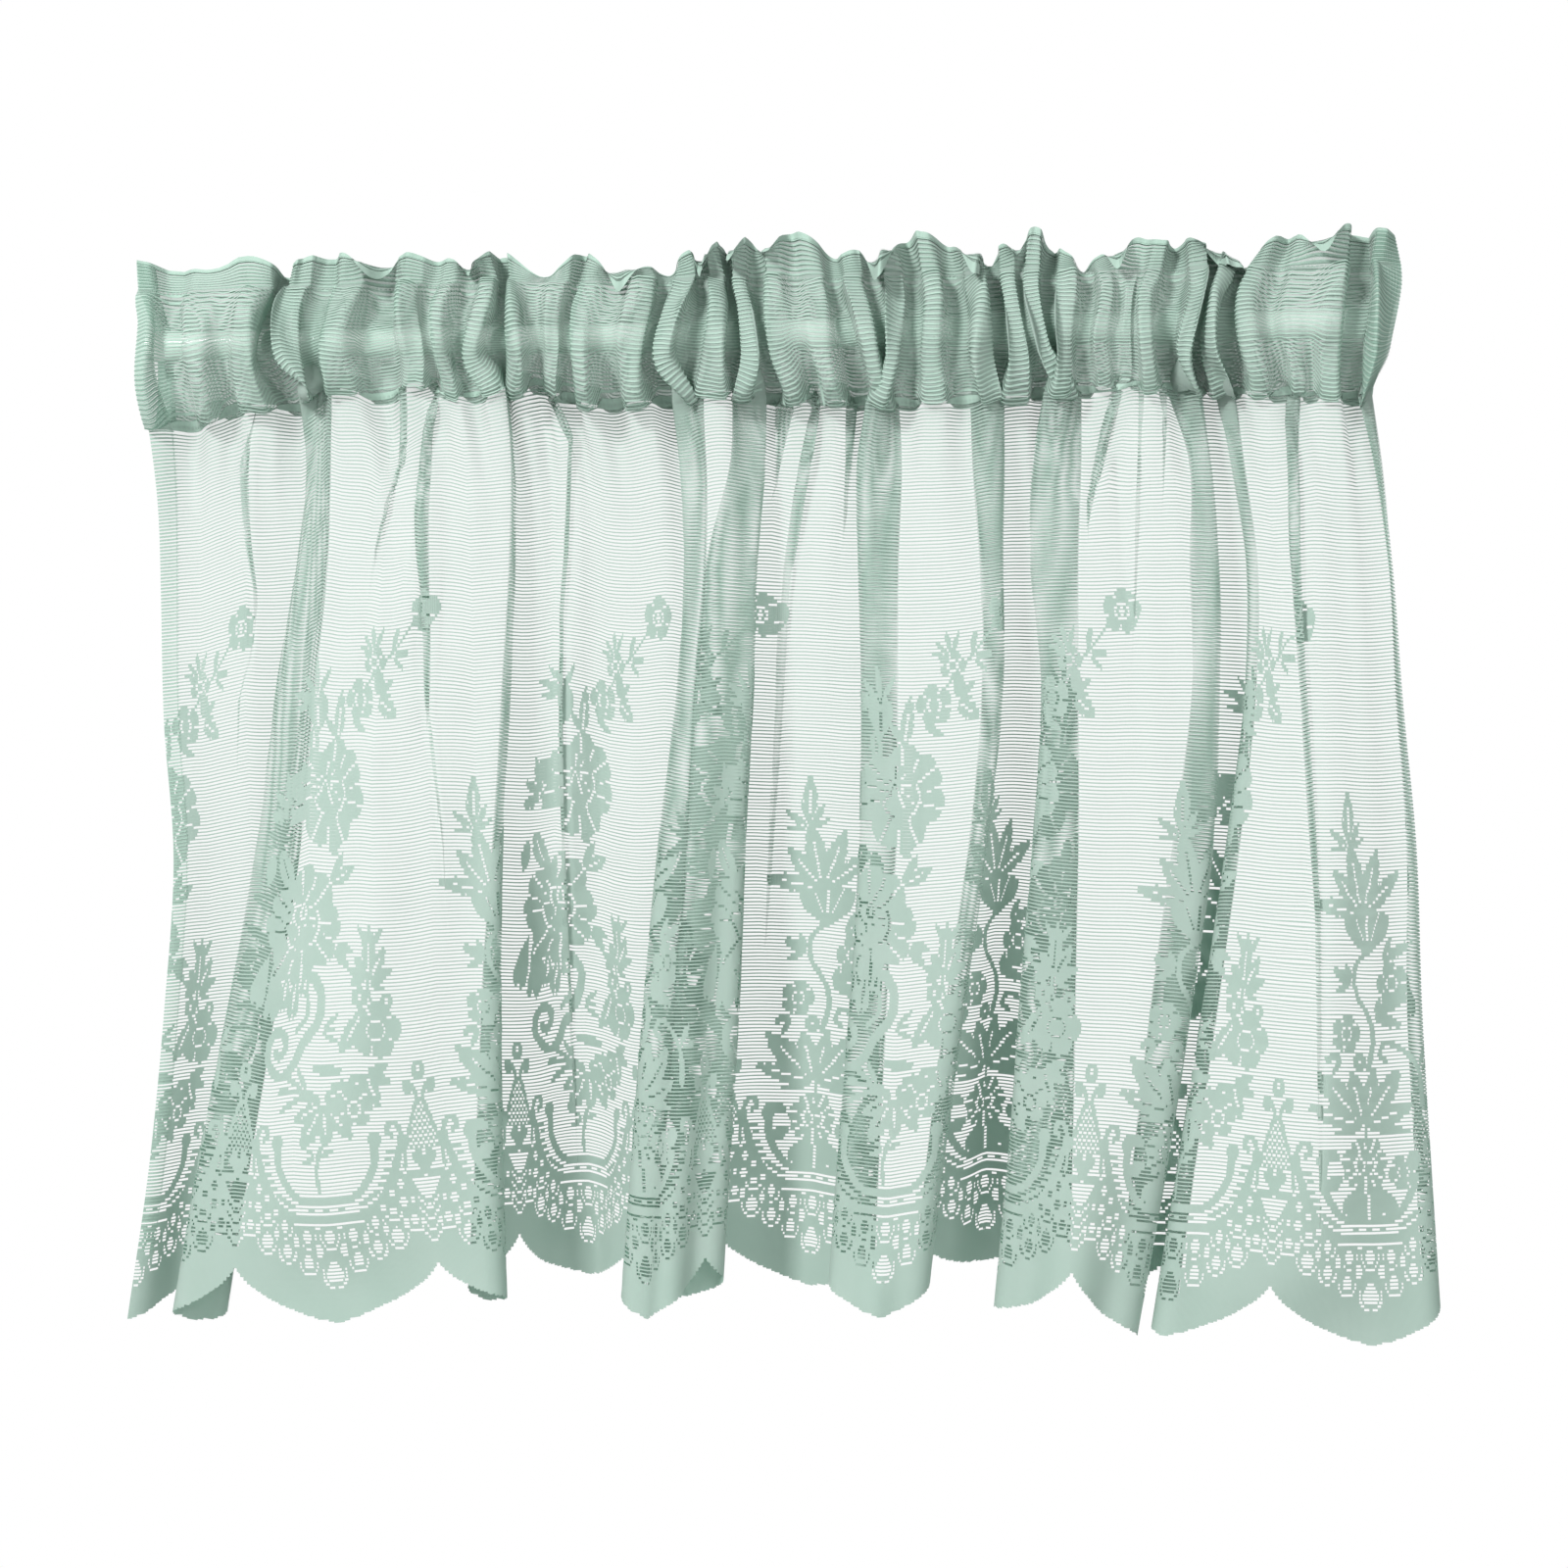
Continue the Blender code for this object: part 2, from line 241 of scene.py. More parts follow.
print("main panels at the hem, mm:", np.round(np.diff(flat_places(1.0))[::4] / MM).astype(int))

# %% [markdown]
# ## A table of the hanging cloth
#
# The table says where each half millimetre of the cloth's width hangs, at some 180 heights. A
# place on the flat cloth is found in it by two numbers: u across, and v down from the seam. The
# small tucks, the uneven hang and the scallops' drop are added line by line.

# %% The table of the hanging cloth
GRID = 0.5 * MM
ACROSS = np.arange(0, FLAT_WIDTH + GRID / 2, GRID)


def line_at(drop, turn, swing, depth):
    """x and y for every half millimetre of the flat cloth's width."""
    joins, run, x, y = section(drop, turn, swing)
    flat = np.interp(run, joins, flat_places(drop))
    return np.interp(ACROSS, flat, x), np.interp(ACROSS, flat, y) * depth


LEAST_TUCK, MOST_TUCK_DEPTH, TUCK_CLOTH = 0.3 * MM, 2.2 * MM, 2.14


def tucked(drop, x, y):
    """The line with its small tucks: there the cloth doubles back over a narrow strip."""
    edges = flat_places(drop)
    for panel, side, track in TUCKS:
        drops, places, widths = zip(*track)
        width = float(np.interp(drop, drops, widths)) * MM
        if width < LEAST_TUCK:
            continue
        place = float(np.interp(drop, drops, places)) * MM
        first, last = panel_range(edges, panel)
        middle = np.interp(place, np.maximum.accumulate(x[first:last]), ACROSS[first:last])
        half = TUCK_CLOTH * width
        t = np.clip((ACROSS - middle) / half, -1, 1)
        shift = 0.8 * half * np.sin(math.pi * t) * (1 + np.cos(math.pi * t)) / 2
        moved = ACROSS - shift
        x = np.interp(moved, ACROSS, x)
        bulge = min(0.3 * width, MOST_TUCK_DEPTH) * np.sin(math.pi * t)
        y = np.interp(moved, ACROSS, y) - side * bulge
    return x, y


def panel_range(edges, panel):
    """Table columns of one panel, the cloth between two folds."""
    start = edges[4 * panel] if panel else 0.0
    return int(start / GRID), int(edges[4 * panel + 1] / GRID)


# %% Heights, running means and unevenness
def height_on(x, line):
    """Height of a line that is given as places and heights in mm."""
    places, heights = zip(*line)
    return np.interp(x / MM, places, heights) * MM


def smooth(values, width):
    """A running mean, wide in table steps, that keeps the ends in place."""
    kernel = np.hanning(2 * width + 1)
    kernel /= kernel.sum()
    padded = np.concatenate([np.full(width, values[0]), values, np.full(width, values[-1])])
    return np.convolve(padded, kernel, "valid")


def local(values, width):
    """What a line has beside its broad course."""
    return values - smooth(values, width)


def uneven(seed, wavelength, amplitude):
    """A soft random line along the cloth, always the same for one seed."""
    noise = np.random.default_rng(seed).normal(size=len(ACROSS))
    line = smooth(smooth(noise, int(wavelength / GRID / 2)), int(wavelength / GRID / 4))
    return line * amplitude / line.std()


seam_x, seam_y = line_at(0.0, SEAM_TURN, **SEAM)
seam_z = height_on(seam_x, SEAM_LINE)
SCALLOP = 118 * MM
scallop_low = np.interp(ACROSS / SCALLOP, range(len(SCALLOP_LOWS)), SCALLOP_LOWS) * MM
print("seam from", round(seam_x[0] / MM), "to", round(seam_x[-1] / MM), "mm")

# %% [markdown]
# ## Gathers of the pocket
#
# On the rod the cloth is pushed together to less than half its width. It stands in round rolls
# with sharp valleys between, which lean a little, and each full roll hangs over the seam like a
# small pouch. A meander, the line that a thin strip makes when its ends are pushed together, keeps
# the right amount of cloth in every roll. Above the rod, the ruffle leans out with the rolls and
# flops forward in a few places.

# %% Gathers of the pocket
# Each row is a ridge of gathered cloth: its place at the frill, at the rod and at the seam.
RIDGES = [
    (-360, -355, -351), (-319, -316, -313), (-280, -286, -290), (-258, -259, -250),
    (-231, -230, -229), (-192, -190, -185), (-170, -173, -168), (-153, -151, -149),
    (-136, -130, -127), (-105, -110, -112), (-89, -89, -94), (-62, -64, -67),
    (-35, -39, -38), (-22, -21, -19), (-8, -2, 5), (13, 16, 30), (33, 37, 49),
    (57, 67, 70), (78, 80, 82), (98, 103, 106), (124, 127, 130), (145, 147, 155),
    (160, 163, 171), (178, 178, 184), (194, 198, 204), (216, 212, 213), (230, 225, 221),
    (248, 242, 243), (271, 261, 262), (290, 282, 289), (309, 304, 307), (329, 320, 319),
    (351, 343, 341), (362, 358, 357),
]
RIDGES = np.array(RIDGES) * MM
# The cloth between two ridges is mostly what the seam has there, partly an even share.
ridge_flat = np.interp(RIDGES[:, 2], smooth(seam_x, 160)[::20], ACROSS[::20])
ridge_flat = 0.92 * ridge_flat + 0.08 * np.linspace(0, FLAT_WIDTH, len(RIDGES))
ridge_flat[0], ridge_flat[-1] = 0, FLAT_WIDTH
print("cloth between ridges, mm:", np.round(np.diff(ridge_flat) / MM).astype(int))

# %% A meander between two ridges
MOST_ROLL = 13 * MM
SWINGS = np.linspace(0.0, 1.85, 60)
WAY = np.linspace(0, 1, 241)
SHORTENING = [np.cos(swing * np.sin(2 * math.pi * WAY)).mean() for swing in SWINGS]


def meander(places, flats):
    """x, and height of the ridges, of cloth that winds between ridges."""
    x = np.zeros(len(ACROSS))
    back = np.zeros(len(ACROSS))
    deepest = []
    for left, right, cut_left, cut_right in zip(places, places[1:], flats, flats[1:]):
        cloth = cut_right - cut_left
        swing = np.interp(-(right - left) / cloth, -np.array(SHORTENING), SWINGS)
        angle = swing * np.sin(2 * math.pi * WAY)
        ahead = np.concatenate([[0], np.cumsum((np.cos(angle[1:]) + np.cos(angle[:-1])) / 2)])
        behind = np.concatenate([[0], np.cumsum((np.sin(angle[1:]) + np.sin(angle[:-1])) / 2)])
        inside = (ACROSS >= cut_left) & (ACROSS <= cut_right)
        way = (ACROSS[inside] - cut_left) / cloth
        x[inside] = left + (right - left) * np.interp(way, WAY, ahead / ahead[-1])
        back[inside] = np.interp(way, WAY, behind / (len(WAY) - 1)) * cloth
        deepest.append(behind.max() / (len(WAY) - 1) * cloth)
    deepest = np.array([deepest[0]] + deepest + [deepest[-1]])
    ridge = np.interp(ACROSS, flats, (deepest[1:] + deepest[:-1]) / 2)
    # broad round rolls with sharp valleys between them
    hollow = np.clip(back / np.maximum(ridge, 0.1 * MM), 0, 1.2)
    ridge = np.minimum(ridge, MOST_ROLL)
    return smooth(x, 3), smooth(ridge * (1.0 - 1.25 * hollow**1.8), 3)


# %% Where a ridge stands at each height
GATHER_DEPTH = 1.15
between = np.concatenate([[0], (ridge_flat[1:] + ridge_flat[:-1]) / 2, [FLAT_WIDTH]])
ridge_bends = np.random.default_rng(17).normal(size=(2, len(RIDGES))) * [[3.2 * MM], [2.8 * MM]]


def ridge_places(share):
    """Where the ridges are, share of the way from the seam to the frill's edge."""
    top, rod, seam = RIDGES.T
    places = (seam * (1 - share) * (1 - 2 * share) + rod * 4 * share * (1 - share)
              + top * share * (2 * share - 1))
    bend, wave = ridge_bends
    places = places + bend * math.sin(math.pi * share) + wave * math.sin(2 * math.pi * share)
    return np.maximum.accumulate(places + np.arange(len(places)) * 1e-6)


def gathers(share, front=True):
    """The gathered line at this share of the height; the back wall's rolls lie between."""
    places = ridge_places(share)
    if front:
        return meander(places, ridge_flat)
    middles = np.concatenate([places[:1], (places[1:] + places[:-1]) / 2, places[-1:]])
    return meander(middles, between)


def ease(value):
    """From 0 to 1 with a soft start and end."""
    value = min(max(value, 0.0), 1.0)
    return value * value * (3 - 2 * value)


# %% Crimp, stitching and ruffle
table_v, table_p = [], []


def add_line(v, x, y, z):
    """One more line of the table, v down the cloth from the seam."""
    table_v.append(v)
    table_p.append(np.stack([x, y, z], 1))


STITCH_SHARE = 0.86  # the stitching, as a share of the way from the seam to the frill's edge
ROLLS = 200  # table steps over which a roll is told from the broad course
room = ROD_RADIUS + 3.0 * MM
low_x, low_ridge = gathers(0.0)
crimp_x = local(low_x, 120)
crimp_y = -local(low_ridge, 120) * GATHER_DEPTH
CRIMP, CRIMP_FADE = 0.8, 40 * MM  # how much of the gathers the body has, and how soon it ends
foot_x, foot_y = seam_x + CRIMP * crimp_x, seam_y + CRIMP * crimp_y
stitch_x, stitch_ridge = gathers(STITCH_SHARE)
stitch_y = -(stitch_ridge - stitch_ridge.mean()) * 0.55
frill_x, frill_ridge = gathers(1.0)
frill_x = 0.3 * frill_x + 0.7 * smooth(frill_x, 50)  # the ruffle runs evener than the rolls
frill_lean = local(frill_ridge, ROLLS)
ruffle_z = smooth(height_on(frill_x, RUFFLE_LINE), 24) + 0.12 * frill_lean
frill_y = -frill_lean * 0.9

# %% Where the ruffle flops forward
# Each flop: its place, drop and half width in mm.
FLOPS = [(-216, 18, 12), (-160, 12, 8), (-73, 16, 8), (-27, 20, 5), (-10, 18, 4), (10, 14, 7),
         (74, 27, 7), (127, 20, 7), (150, 12, 5), (206, 18, 5), (262, 16, 13), (318, 18, 8)]
flop = np.zeros(len(ACROSS))
for place, drop, half in FLOPS:
    flop = np.maximum(flop, drop * MM * np.exp(-((frill_x / MM - place) / half) ** 2))
ruffle_z -= flop
frill_y -= 1.1 * flop
print("the ruffle flops by up to", round(float(flop.max() / MM)), "mm")

# %% Lines of the pocket and of the heading
CLEAR, ROD_REACH = 3.2 * MM, 14 * MM  # the walls keep this far apart, and widen near the rod
sway = uneven(71, 60 * MM, 0.3)
pinch = 0.85 + 0.15 * np.clip(np.minimum(ACROSS, FLAT_WIDTH - ACROSS) / (12 * MM), 0, 1)


def pouch(share):
    """How much a full gather hangs over the seam at this height."""
    return math.sin(math.pi * min(share / 0.7, 1.0) ** 0.45)


def tube_line(v, share, front):
    """A line of the pocket's wall, share of the way up from the seam to the stitching."""
    x, ridge = gathers(STITCH_SHARE * share, front)
    gathered = ease(share / 0.4)
    x = foot_x * (1 - gathered) + x * gathered
    meet = ease((share - 0.75) / 0.25)
    x = x * (1 - meet) + stitch_x * meet
    full = np.maximum(local(ridge, ROLLS), 0.0)
    z = seam_z + (STITCH_LINE - seam_z) * share - 1.0 * pouch(share) * full
    swell = math.sin(math.pi * share) ** 0.5
    beside_rod = np.clip(1 - (np.abs(z) - ROD_RADIUS) / ROD_REACH, 0, 1)
    clear = CLEAR + ROD_RADIUS * beside_rod**2 * (3 - 2 * beside_rod)
    fine = uneven(11 if front else 23, 12 * MM, 0.7 * MM)
    swing = 1 + 0.35 * np.sin(2 * math.pi * (0.8 * share + sway))
    out = np.maximum((room + ridge * swing * GATHER_DEPTH + fine) * pinch, clear)
    ends = foot_y * (1 - ease(share)) + stitch_y * ease(share)
    y = (-out if front else out) * swell + ends * (1 - swell)
    add_line(v, x, y, z)


def heading_line(v, share, front):
    """A line of the heading, share of the way up from the stitching to the ruffle's edge."""
    x = stitch_x + (frill_x - stitch_x) * share
    y = stitch_y + (frill_y - stitch_y) * share
    z = STITCH_LINE + (ruffle_z - STITCH_LINE) * share + 0.55 * flop * math.sin(math.pi * share)
    apart = 1.3 * MM * math.sqrt(max(0.0, 1 - share**2))
    fine = uneven(31, 12 * MM, 0.8 * MM) * (0.3 + share)
    add_line(v, x, y + fine + (-apart if front else apart), z)


# %% From the turned hem over the ruffle to the scallops
FRILL_V = -(POCKET_WALL + HEADING)
WALL_LINES, HEADING_LINES, BODY_LINES = 17, 7, 130
for share in np.linspace(1, 0, 5):
    tube_line(2 * FRILL_V - TURNED_UNDER * share, 0.18 * share + 0.001, False)
    table_p[-1][:, 1] -= 1.2 * MM  # the turned hem lies just inside the back wall
for share in np.linspace(0, 1, WALL_LINES)[1:]:
    tube_line(2 * FRILL_V + POCKET_WALL * share, share, False)
for share in np.linspace(0, 1, HEADING_LINES)[1:]:
    heading_line(FRILL_V - HEADING * (1 - share), share, False)
for share in np.linspace(1, 0, HEADING_LINES)[1:]:
    heading_line(FRILL_V + HEADING * (1 - share), share, True)
for share in np.linspace(1, 0, WALL_LINES)[1:-1]:
    tube_line(-POCKET_WALL * share, share, True)
sag = uneven(61, 55 * MM, 1.1 * MM)
buckle = uneven(47, 26 * MM, 1.6 * MM)
billow = uneven(53, 70 * MM, 2.0 * MM)
for drop in np.linspace(0, 1, BODY_LINES):
    turn = SEAM_TURN + drop * (HEM_TURN - SEAM_TURN)
    depth = SEAM["depth"] + drop * (1 - SEAM["depth"])
    x, y = line_at(drop, turn, SEAM["swing"] * (1 - drop), depth)
    x, y = tucked(drop, x, y)
    sagging = sag * (0.5 + 0.5 * math.exp(-4 * drop)) * min(drop * 20, 1)
    z = seam_z + drop * (scallop_low - seam_z) + sagging
    fade = CRIMP * math.exp(-BODY * drop / CRIMP_FADE)
    ripple = buckle * math.exp(-3.0 * drop) + billow * math.sin(math.pi * min(drop * 1.3, 1))
    add_line(BODY * drop, x + crimp_x * fade, y + crimp_y * fade + ripple, z)

TABLE_V = np.array(table_v)
TABLE_P = np.array(table_p)
print("table:", TABLE_P.shape, "cloth v from", TABLE_V[0], "to", TABLE_V[-1])
body_rows = TABLE_V >= 0
wall_rows = (TABLE_V > -POCKET_WALL) & (TABLE_V < 0)
# A panel's belly comes and goes gently down the body, so no sharp crease crosses it.
TABLE_P[body_rows, :, 1] = np.apply_along_axis(smooth, 0, TABLE_P[body_rows, :, 1], 9)

# %% [markdown]
# ## Ribs lean where the cloth leans
#
# Knitted ribs stay square to the cloth's own length, so they tilt where a fold leans. The lean is
# summed along each line, and only its local part is kept. After that the table is finished, and
# hang() reads it for every mesh.


# %% Ribs lean where the cloth leans
def lean_of(rows, most):
    """How far the ribs of these rows lean up or down to stay square to the cloth's length."""
    points, heights = TABLE_P[rows], TABLE_V[rows]
    down = np.gradient(points, heights, axis=0)
    across = np.gradient(points, GRID, axis=1)
    fall = down[..., 2].mean(axis=1, keepdims=True)
    rise = -(across[..., 0] * down[..., 0] + across[..., 1] * down[..., 1]) / fall
    total = np.cumsum(rise, axis=1) * GRID
    lean = [smooth(local(line, 90), 4) for line in total]
    return np.clip(lean, -most, most)


TABLE_P[body_rows, :, 2] += lean_of(body_rows, 12 * MM)
TABLE_P[wall_rows, :, 2] += lean_of(wall_rows, 5 * MM)
print("the table spans, m:", np.round(np.ptp(TABLE_P, axis=(0, 1)), 3))


# %% Any point of the cloth
def hang(u, v, lift):
    """Where points of the flat cloth hang: u across, v down from the seam, lift off its front."""
    u = np.clip(np.asarray(u, float), 0, FLAT_WIDTH - 1e-9)
    v = np.clip(np.asarray(v, float), TABLE_V[0], TABLE_V[-1] - 1e-9)
    i = np.clip(np.searchsorted(TABLE_V, v, "right") - 1, 0, len(TABLE_V) - 2)
    f = ((v - TABLE_V[i]) / (TABLE_V[i + 1] - TABLE_V[i]))[:, None]
    j = np.minimum((u / GRID).astype(int), len(ACROSS) - 2)
    g = (u / GRID - j)[:, None]
    upper = TABLE_P[i, j] * (1 - g) + TABLE_P[i, j + 1] * g
    lower = TABLE_P[i + 1, j] * (1 - g) + TABLE_P[i + 1, j + 1] * g
    place = upper * (1 - f) + lower * f
    if lift:
        across = TABLE_P[i, np.minimum(j + 2, len(ACROSS) - 1)] - TABLE_P[i, np.maximum(j - 1, 0)]
        flat = np.hypot(across[:, 0], across[:, 1])[:, None]
        place = place + lift * np.stack([across[:, 1], -across[:, 0], 0 * flat[:, 0]], 1) / flat
    return place


# %% [markdown]
# ## The lace chart
#
# Lace like this is knitted from a squared chart. Each row stands for one rib, each square for one
# wale, and a square is either closed with yarn or left open. The border, the eyelets, the heart
# finials and the bouquets could be painted as an image, but a chart drawn by a few shape helpers
# stays sharp at any size, and it becomes real mesh later. Two scallops, one with a bouquet and one
# with a rose on a curved stem, make one repeat.

# %% Squares of the chart
PITCH = 118.0  # mm from scallop to scallop
REPEAT = 2 * PITCH
ROW = 2.0
ROWS = 206
RISE = 33.0  # mm from a scallop's lowest point to the notch beside it

squares_across = np.arange(REPEAT) + 0.5 - PITCH / 2
squares_above = (np.arange(ROWS) + 0.5) * ROW
A, H = np.meshgrid(squares_across, squares_above)
chart = np.zeros(A.shape, bool)
print("chart of one repeat:", chart.shape, "squares")


def away(a):
    """How far each square lies to the right of a place, going round the repeat."""
    return (A - a + REPEAT / 2) % REPEAT - REPEAT / 2


def fill(where):
    chart[where] = True


def open_up(where):
    chart[where] = False


def axis(a0, h0, a1, h1):
    """Share of the way along a line, distance beside it in mm, and its length."""
    length = math.hypot(a1 - a0, h1 - h0)
    ca, ch = (a1 - a0) / length, (h1 - h0) / length
    da, dh = away(a0), H - h0
    return (da * ca + dh * ch) / length, dh * ca - da * ch, length


def round_off(a, h, ra, rh):
    """0 in the middle of an oval and 1 on its rim."""
    return np.hypot(away(a) / ra, (H - h) / rh)


# %% [markdown]
# ## Leaves, petals and flowers
#
# In filet lace a motif is a group of closed squares, and its veins and petal lines are rows of
# squares left open. A leaf or a petal is the area between two curves. A flower is a ring of petals
# round a small open eye. These plain garden shapes are drawn here by rule, so none copies
# anybody's design.


# %% Leaves, petals and flowers
def leaf(a0, h0, a1, h1, width):
    """A leaf from its stalk to its tip; a wide one gets a dotted vein."""
    t, s, length = axis(a0, h0, a1, h1)
    half = width / 2 * np.sin(np.pi * np.clip(t, 0, 1) ** 0.9) ** 0.7
    teeth = min(width / 7, 1.4) * np.abs(np.sin(np.pi * t * length / 5.5)) if width > 6 else 0.2
    fill((t > 0) & (t < 1) & (abs(s) < 0.94 * half + teeth - 0.8))
    if width > 8:
        open_up((t > 0.14) & (t < 0.7) & (abs(s) < 0.75))


def petal(a0, h0, a1, h1, width, dent=0.14):
    """A broad petal with a dent in its outer edge."""
    t, s, _ = axis(a0, h0, a1, h1)
    half = width / 2 * np.sin(np.pi * np.clip(t, 0, 1) ** 1.7) ** 0.55
    fill((t > 0) & (t < 1 - dent * np.clip(1 - 4.5 * abs(s) / width, 0, 1)) & (abs(s) < half))


# %% Slits and full flowers
def slit(a0, h0, a1, h1, start=0.0, end=1.0):
    """A line of small openings."""
    t, s, _ = axis(a0, h0, a1, h1)
    open_up((t > start) & (t < end) & (abs(s) < 0.8))


def ray_ends(a, h, count, turn, radius, squash):
    """The ends of even rays round a point."""
    for k in range(count):
        ray = math.radians(turn + 360 * k / count)
        yield a + radius * math.cos(ray), h + radius * squash * math.sin(ray)


def rose(a, h, radius, petals, turn, squash=1.0):
    """A full-blown flower: dented petals parted by slits, small inner petals and an open eye."""
    reach = [1.0, 0.88, 0.96, 0.9]  # no two neighbours are quite as long
    ends = list(ray_ends(a, h, petals, turn, radius, squash))
    width = 2.5 * radius * math.sin(math.pi / petals)
    for k, (pa, ph) in enumerate(ends):
        far = reach[k % 4]
        petal(a, h, a + (pa - a) * far, h + (ph - h) * far, width)
    for pa, ph in ray_ends(a, h, petals, turn + 180 / petals, radius, squash):
        slit(a, h, pa, ph, 0.42, 1.0)
    for k, (pa, ph) in enumerate(ends):
        if k % 2 == 0:
            slit(a, h, pa, ph, 0.55, 0.82)
    fill(round_off(a, h, 0.42 * radius, 0.42 * radius * squash) < 1)
    inner = abs(round_off(a, h, 0.4 * radius, 0.4 * radius * squash) - 1) * 0.4 * radius < 0.8
    turns = np.arctan2(H - h, away(a))
    open_up(inner & (np.cos(2.5 * turns + 0.6) > -0.55))
    for pa, ph in ray_ends(a, h, 3, turn + 40, 0.3 * radius, squash):
        slit(a, h, pa, ph, 0.15, 1.0)


# %% Small flowers, berries and fans
def blossom(a, h, radius, turn):
    """A small flower of five round petals with an open eye."""
    petals, squash = 5, 0.95
    size = 0.95 * radius * math.sin(math.pi / petals)
    for pa, ph in ray_ends(a, h, petals, turn, radius - size, squash):
        fill(round_off(pa, ph, size, size) < 1)
    fill(round_off(a, h, 0.5 * radius, 0.5 * radius) < 1)
    for pa, ph in ray_ends(a, h, petals, turn + 180 / petals, radius, squash):
        slit(a, h, pa, ph, 0.6, 1.0)
    open_up(abs(round_off(a, h, 0.34 * radius, 0.34 * radius) - 1) * 0.34 * radius < 0.6)


def berry(a, h, size):
    fill(round_off(a, h, size, size) < 1)
    open_up((abs(away(a)) < 0.7) & (abs(H - h) < 1.1))


def fan(a, h, rays):
    """Leaves that spread from one point: (direction in degrees, length, width)."""
    for direction, length, width in rays:
        ray = math.radians(direction)
        leaf(a + 1.5 * math.cos(ray), h + 1.5 * math.sin(ray),
             a + length * math.cos(ray), h + length * math.sin(ray), width)


# %% Stems
def smooth_line(points):
    """A smooth line through the points, as many short steps."""
    p = np.array(points, float)
    p = np.vstack([2 * p[0] - p[1], p, 2 * p[-1] - p[-2]])
    steps = []
    for before, start, end, after in zip(p, p[1:], p[2:], p[3:]):
        for t in np.linspace(0, 1, 14, endpoint=False):
            steps.append(0.5 * (2 * start + (end - before) * t
                                + (2 * before - 5 * start + 4 * end - after) * t * t
                                + (3 * start - before - 3 * end + after) * t ** 3))
    return steps + [p[-2]]


def stem(points, width, end_width=None):
    """A line of cloth work that may grow thinner or thicker."""
    line = smooth_line(points)
    widths = np.linspace(width, end_width or width, len(line))
    for (a, h), here in zip(line, widths):
        fill(np.hypot(away(a), H - h) < here / 2)


def stems(middle, points, width, end_width=None):
    """The same stem on both sides of a middle line."""
    for sign in (1, -1):
        stem([(middle + sign * a, h) for a, h in points], width, end_width)


# %% [markdown]
# ### Border, eyelets and bands
#
# Every scallop has the same edge: a plain border, a tier of oval eyelets with dotted outlines that
# nest like fish scales, and two solid bands with a row of dashes between them, which rise to curls.
# Over each notch stands a small finial: an open cup, a heart, a net and two loops.

# %% What is the same in every scallop
# An eyelet: its place beside the middle, height, width, how tall it is and how pointed its top is.
EYELETS = [
    (0, 28, 9.5, 14.5, 0.45), (14.5, 33.5, 6, 9, 0.2), (26.5, 40.5, 6, 9, 0.2),
    (38.5, 46.5, 7, 9.5, 0.1), (49.5, 55, 5, 8, 0), (0, 48, 6.5, 9, 0), (13.2, 48, 5.5, 8, -0.1),
    (27, 54, 5, 7.5, 0), (38, 60, 5, 6, 0),
    (7.3, 40, 5, 9, 0.1), (20.5, 45.5, 4, 8, 0), (6.6, 53.8, 5, 4, -0.9), (32.5, 50, 4, 7, 0),
    (19.5, 55.4, 3.6, 4, 0), (44.5, 53, 3.5, 6, 0), (32.5, 62, 4, 5, 0), (44.5, 64.5, 5, 6, 0),
    (38.5, 70.5, 4, 5, 0), (50, 66.5, 3.6, 5, 0), (44, 75, 4, 5.5, 0), (45.5, 83, 3, 4, 0),
]
OUTLINED = 9  # so many of the eyelets have a dotted outline
BAND_OUTSIDE = [(18, 58), (27, 63), (35, 72), (41, 83), (45, 94), (46.5, 101)]
BAND_MIDDLE = [(19, 63.5), (26, 68), (32, 76), (36.5, 86), (39.5, 97)]
BAND_INSIDE = [(15, 68), (21, 72), (27, 80), (30.5, 89), (31, 98)]
BAND_CURL = [(46.5, 101), (45, 107), (40.5, 109), (38.5, 104.5), (41, 102)]


def cut_edge(off):
    """Height of the cut edge: half a soft wave and half a circle, off 0 to 1 from the lowest."""
    return RISE * (0.5 * off ** 1.3 + 0.5 * (1 - np.sqrt(np.clip(1 - off * off, 0, 1))))


def scallop_edge(a):
    return cut_edge(np.clip(abs(away(a)) / (PITCH / 2), 0, 1))


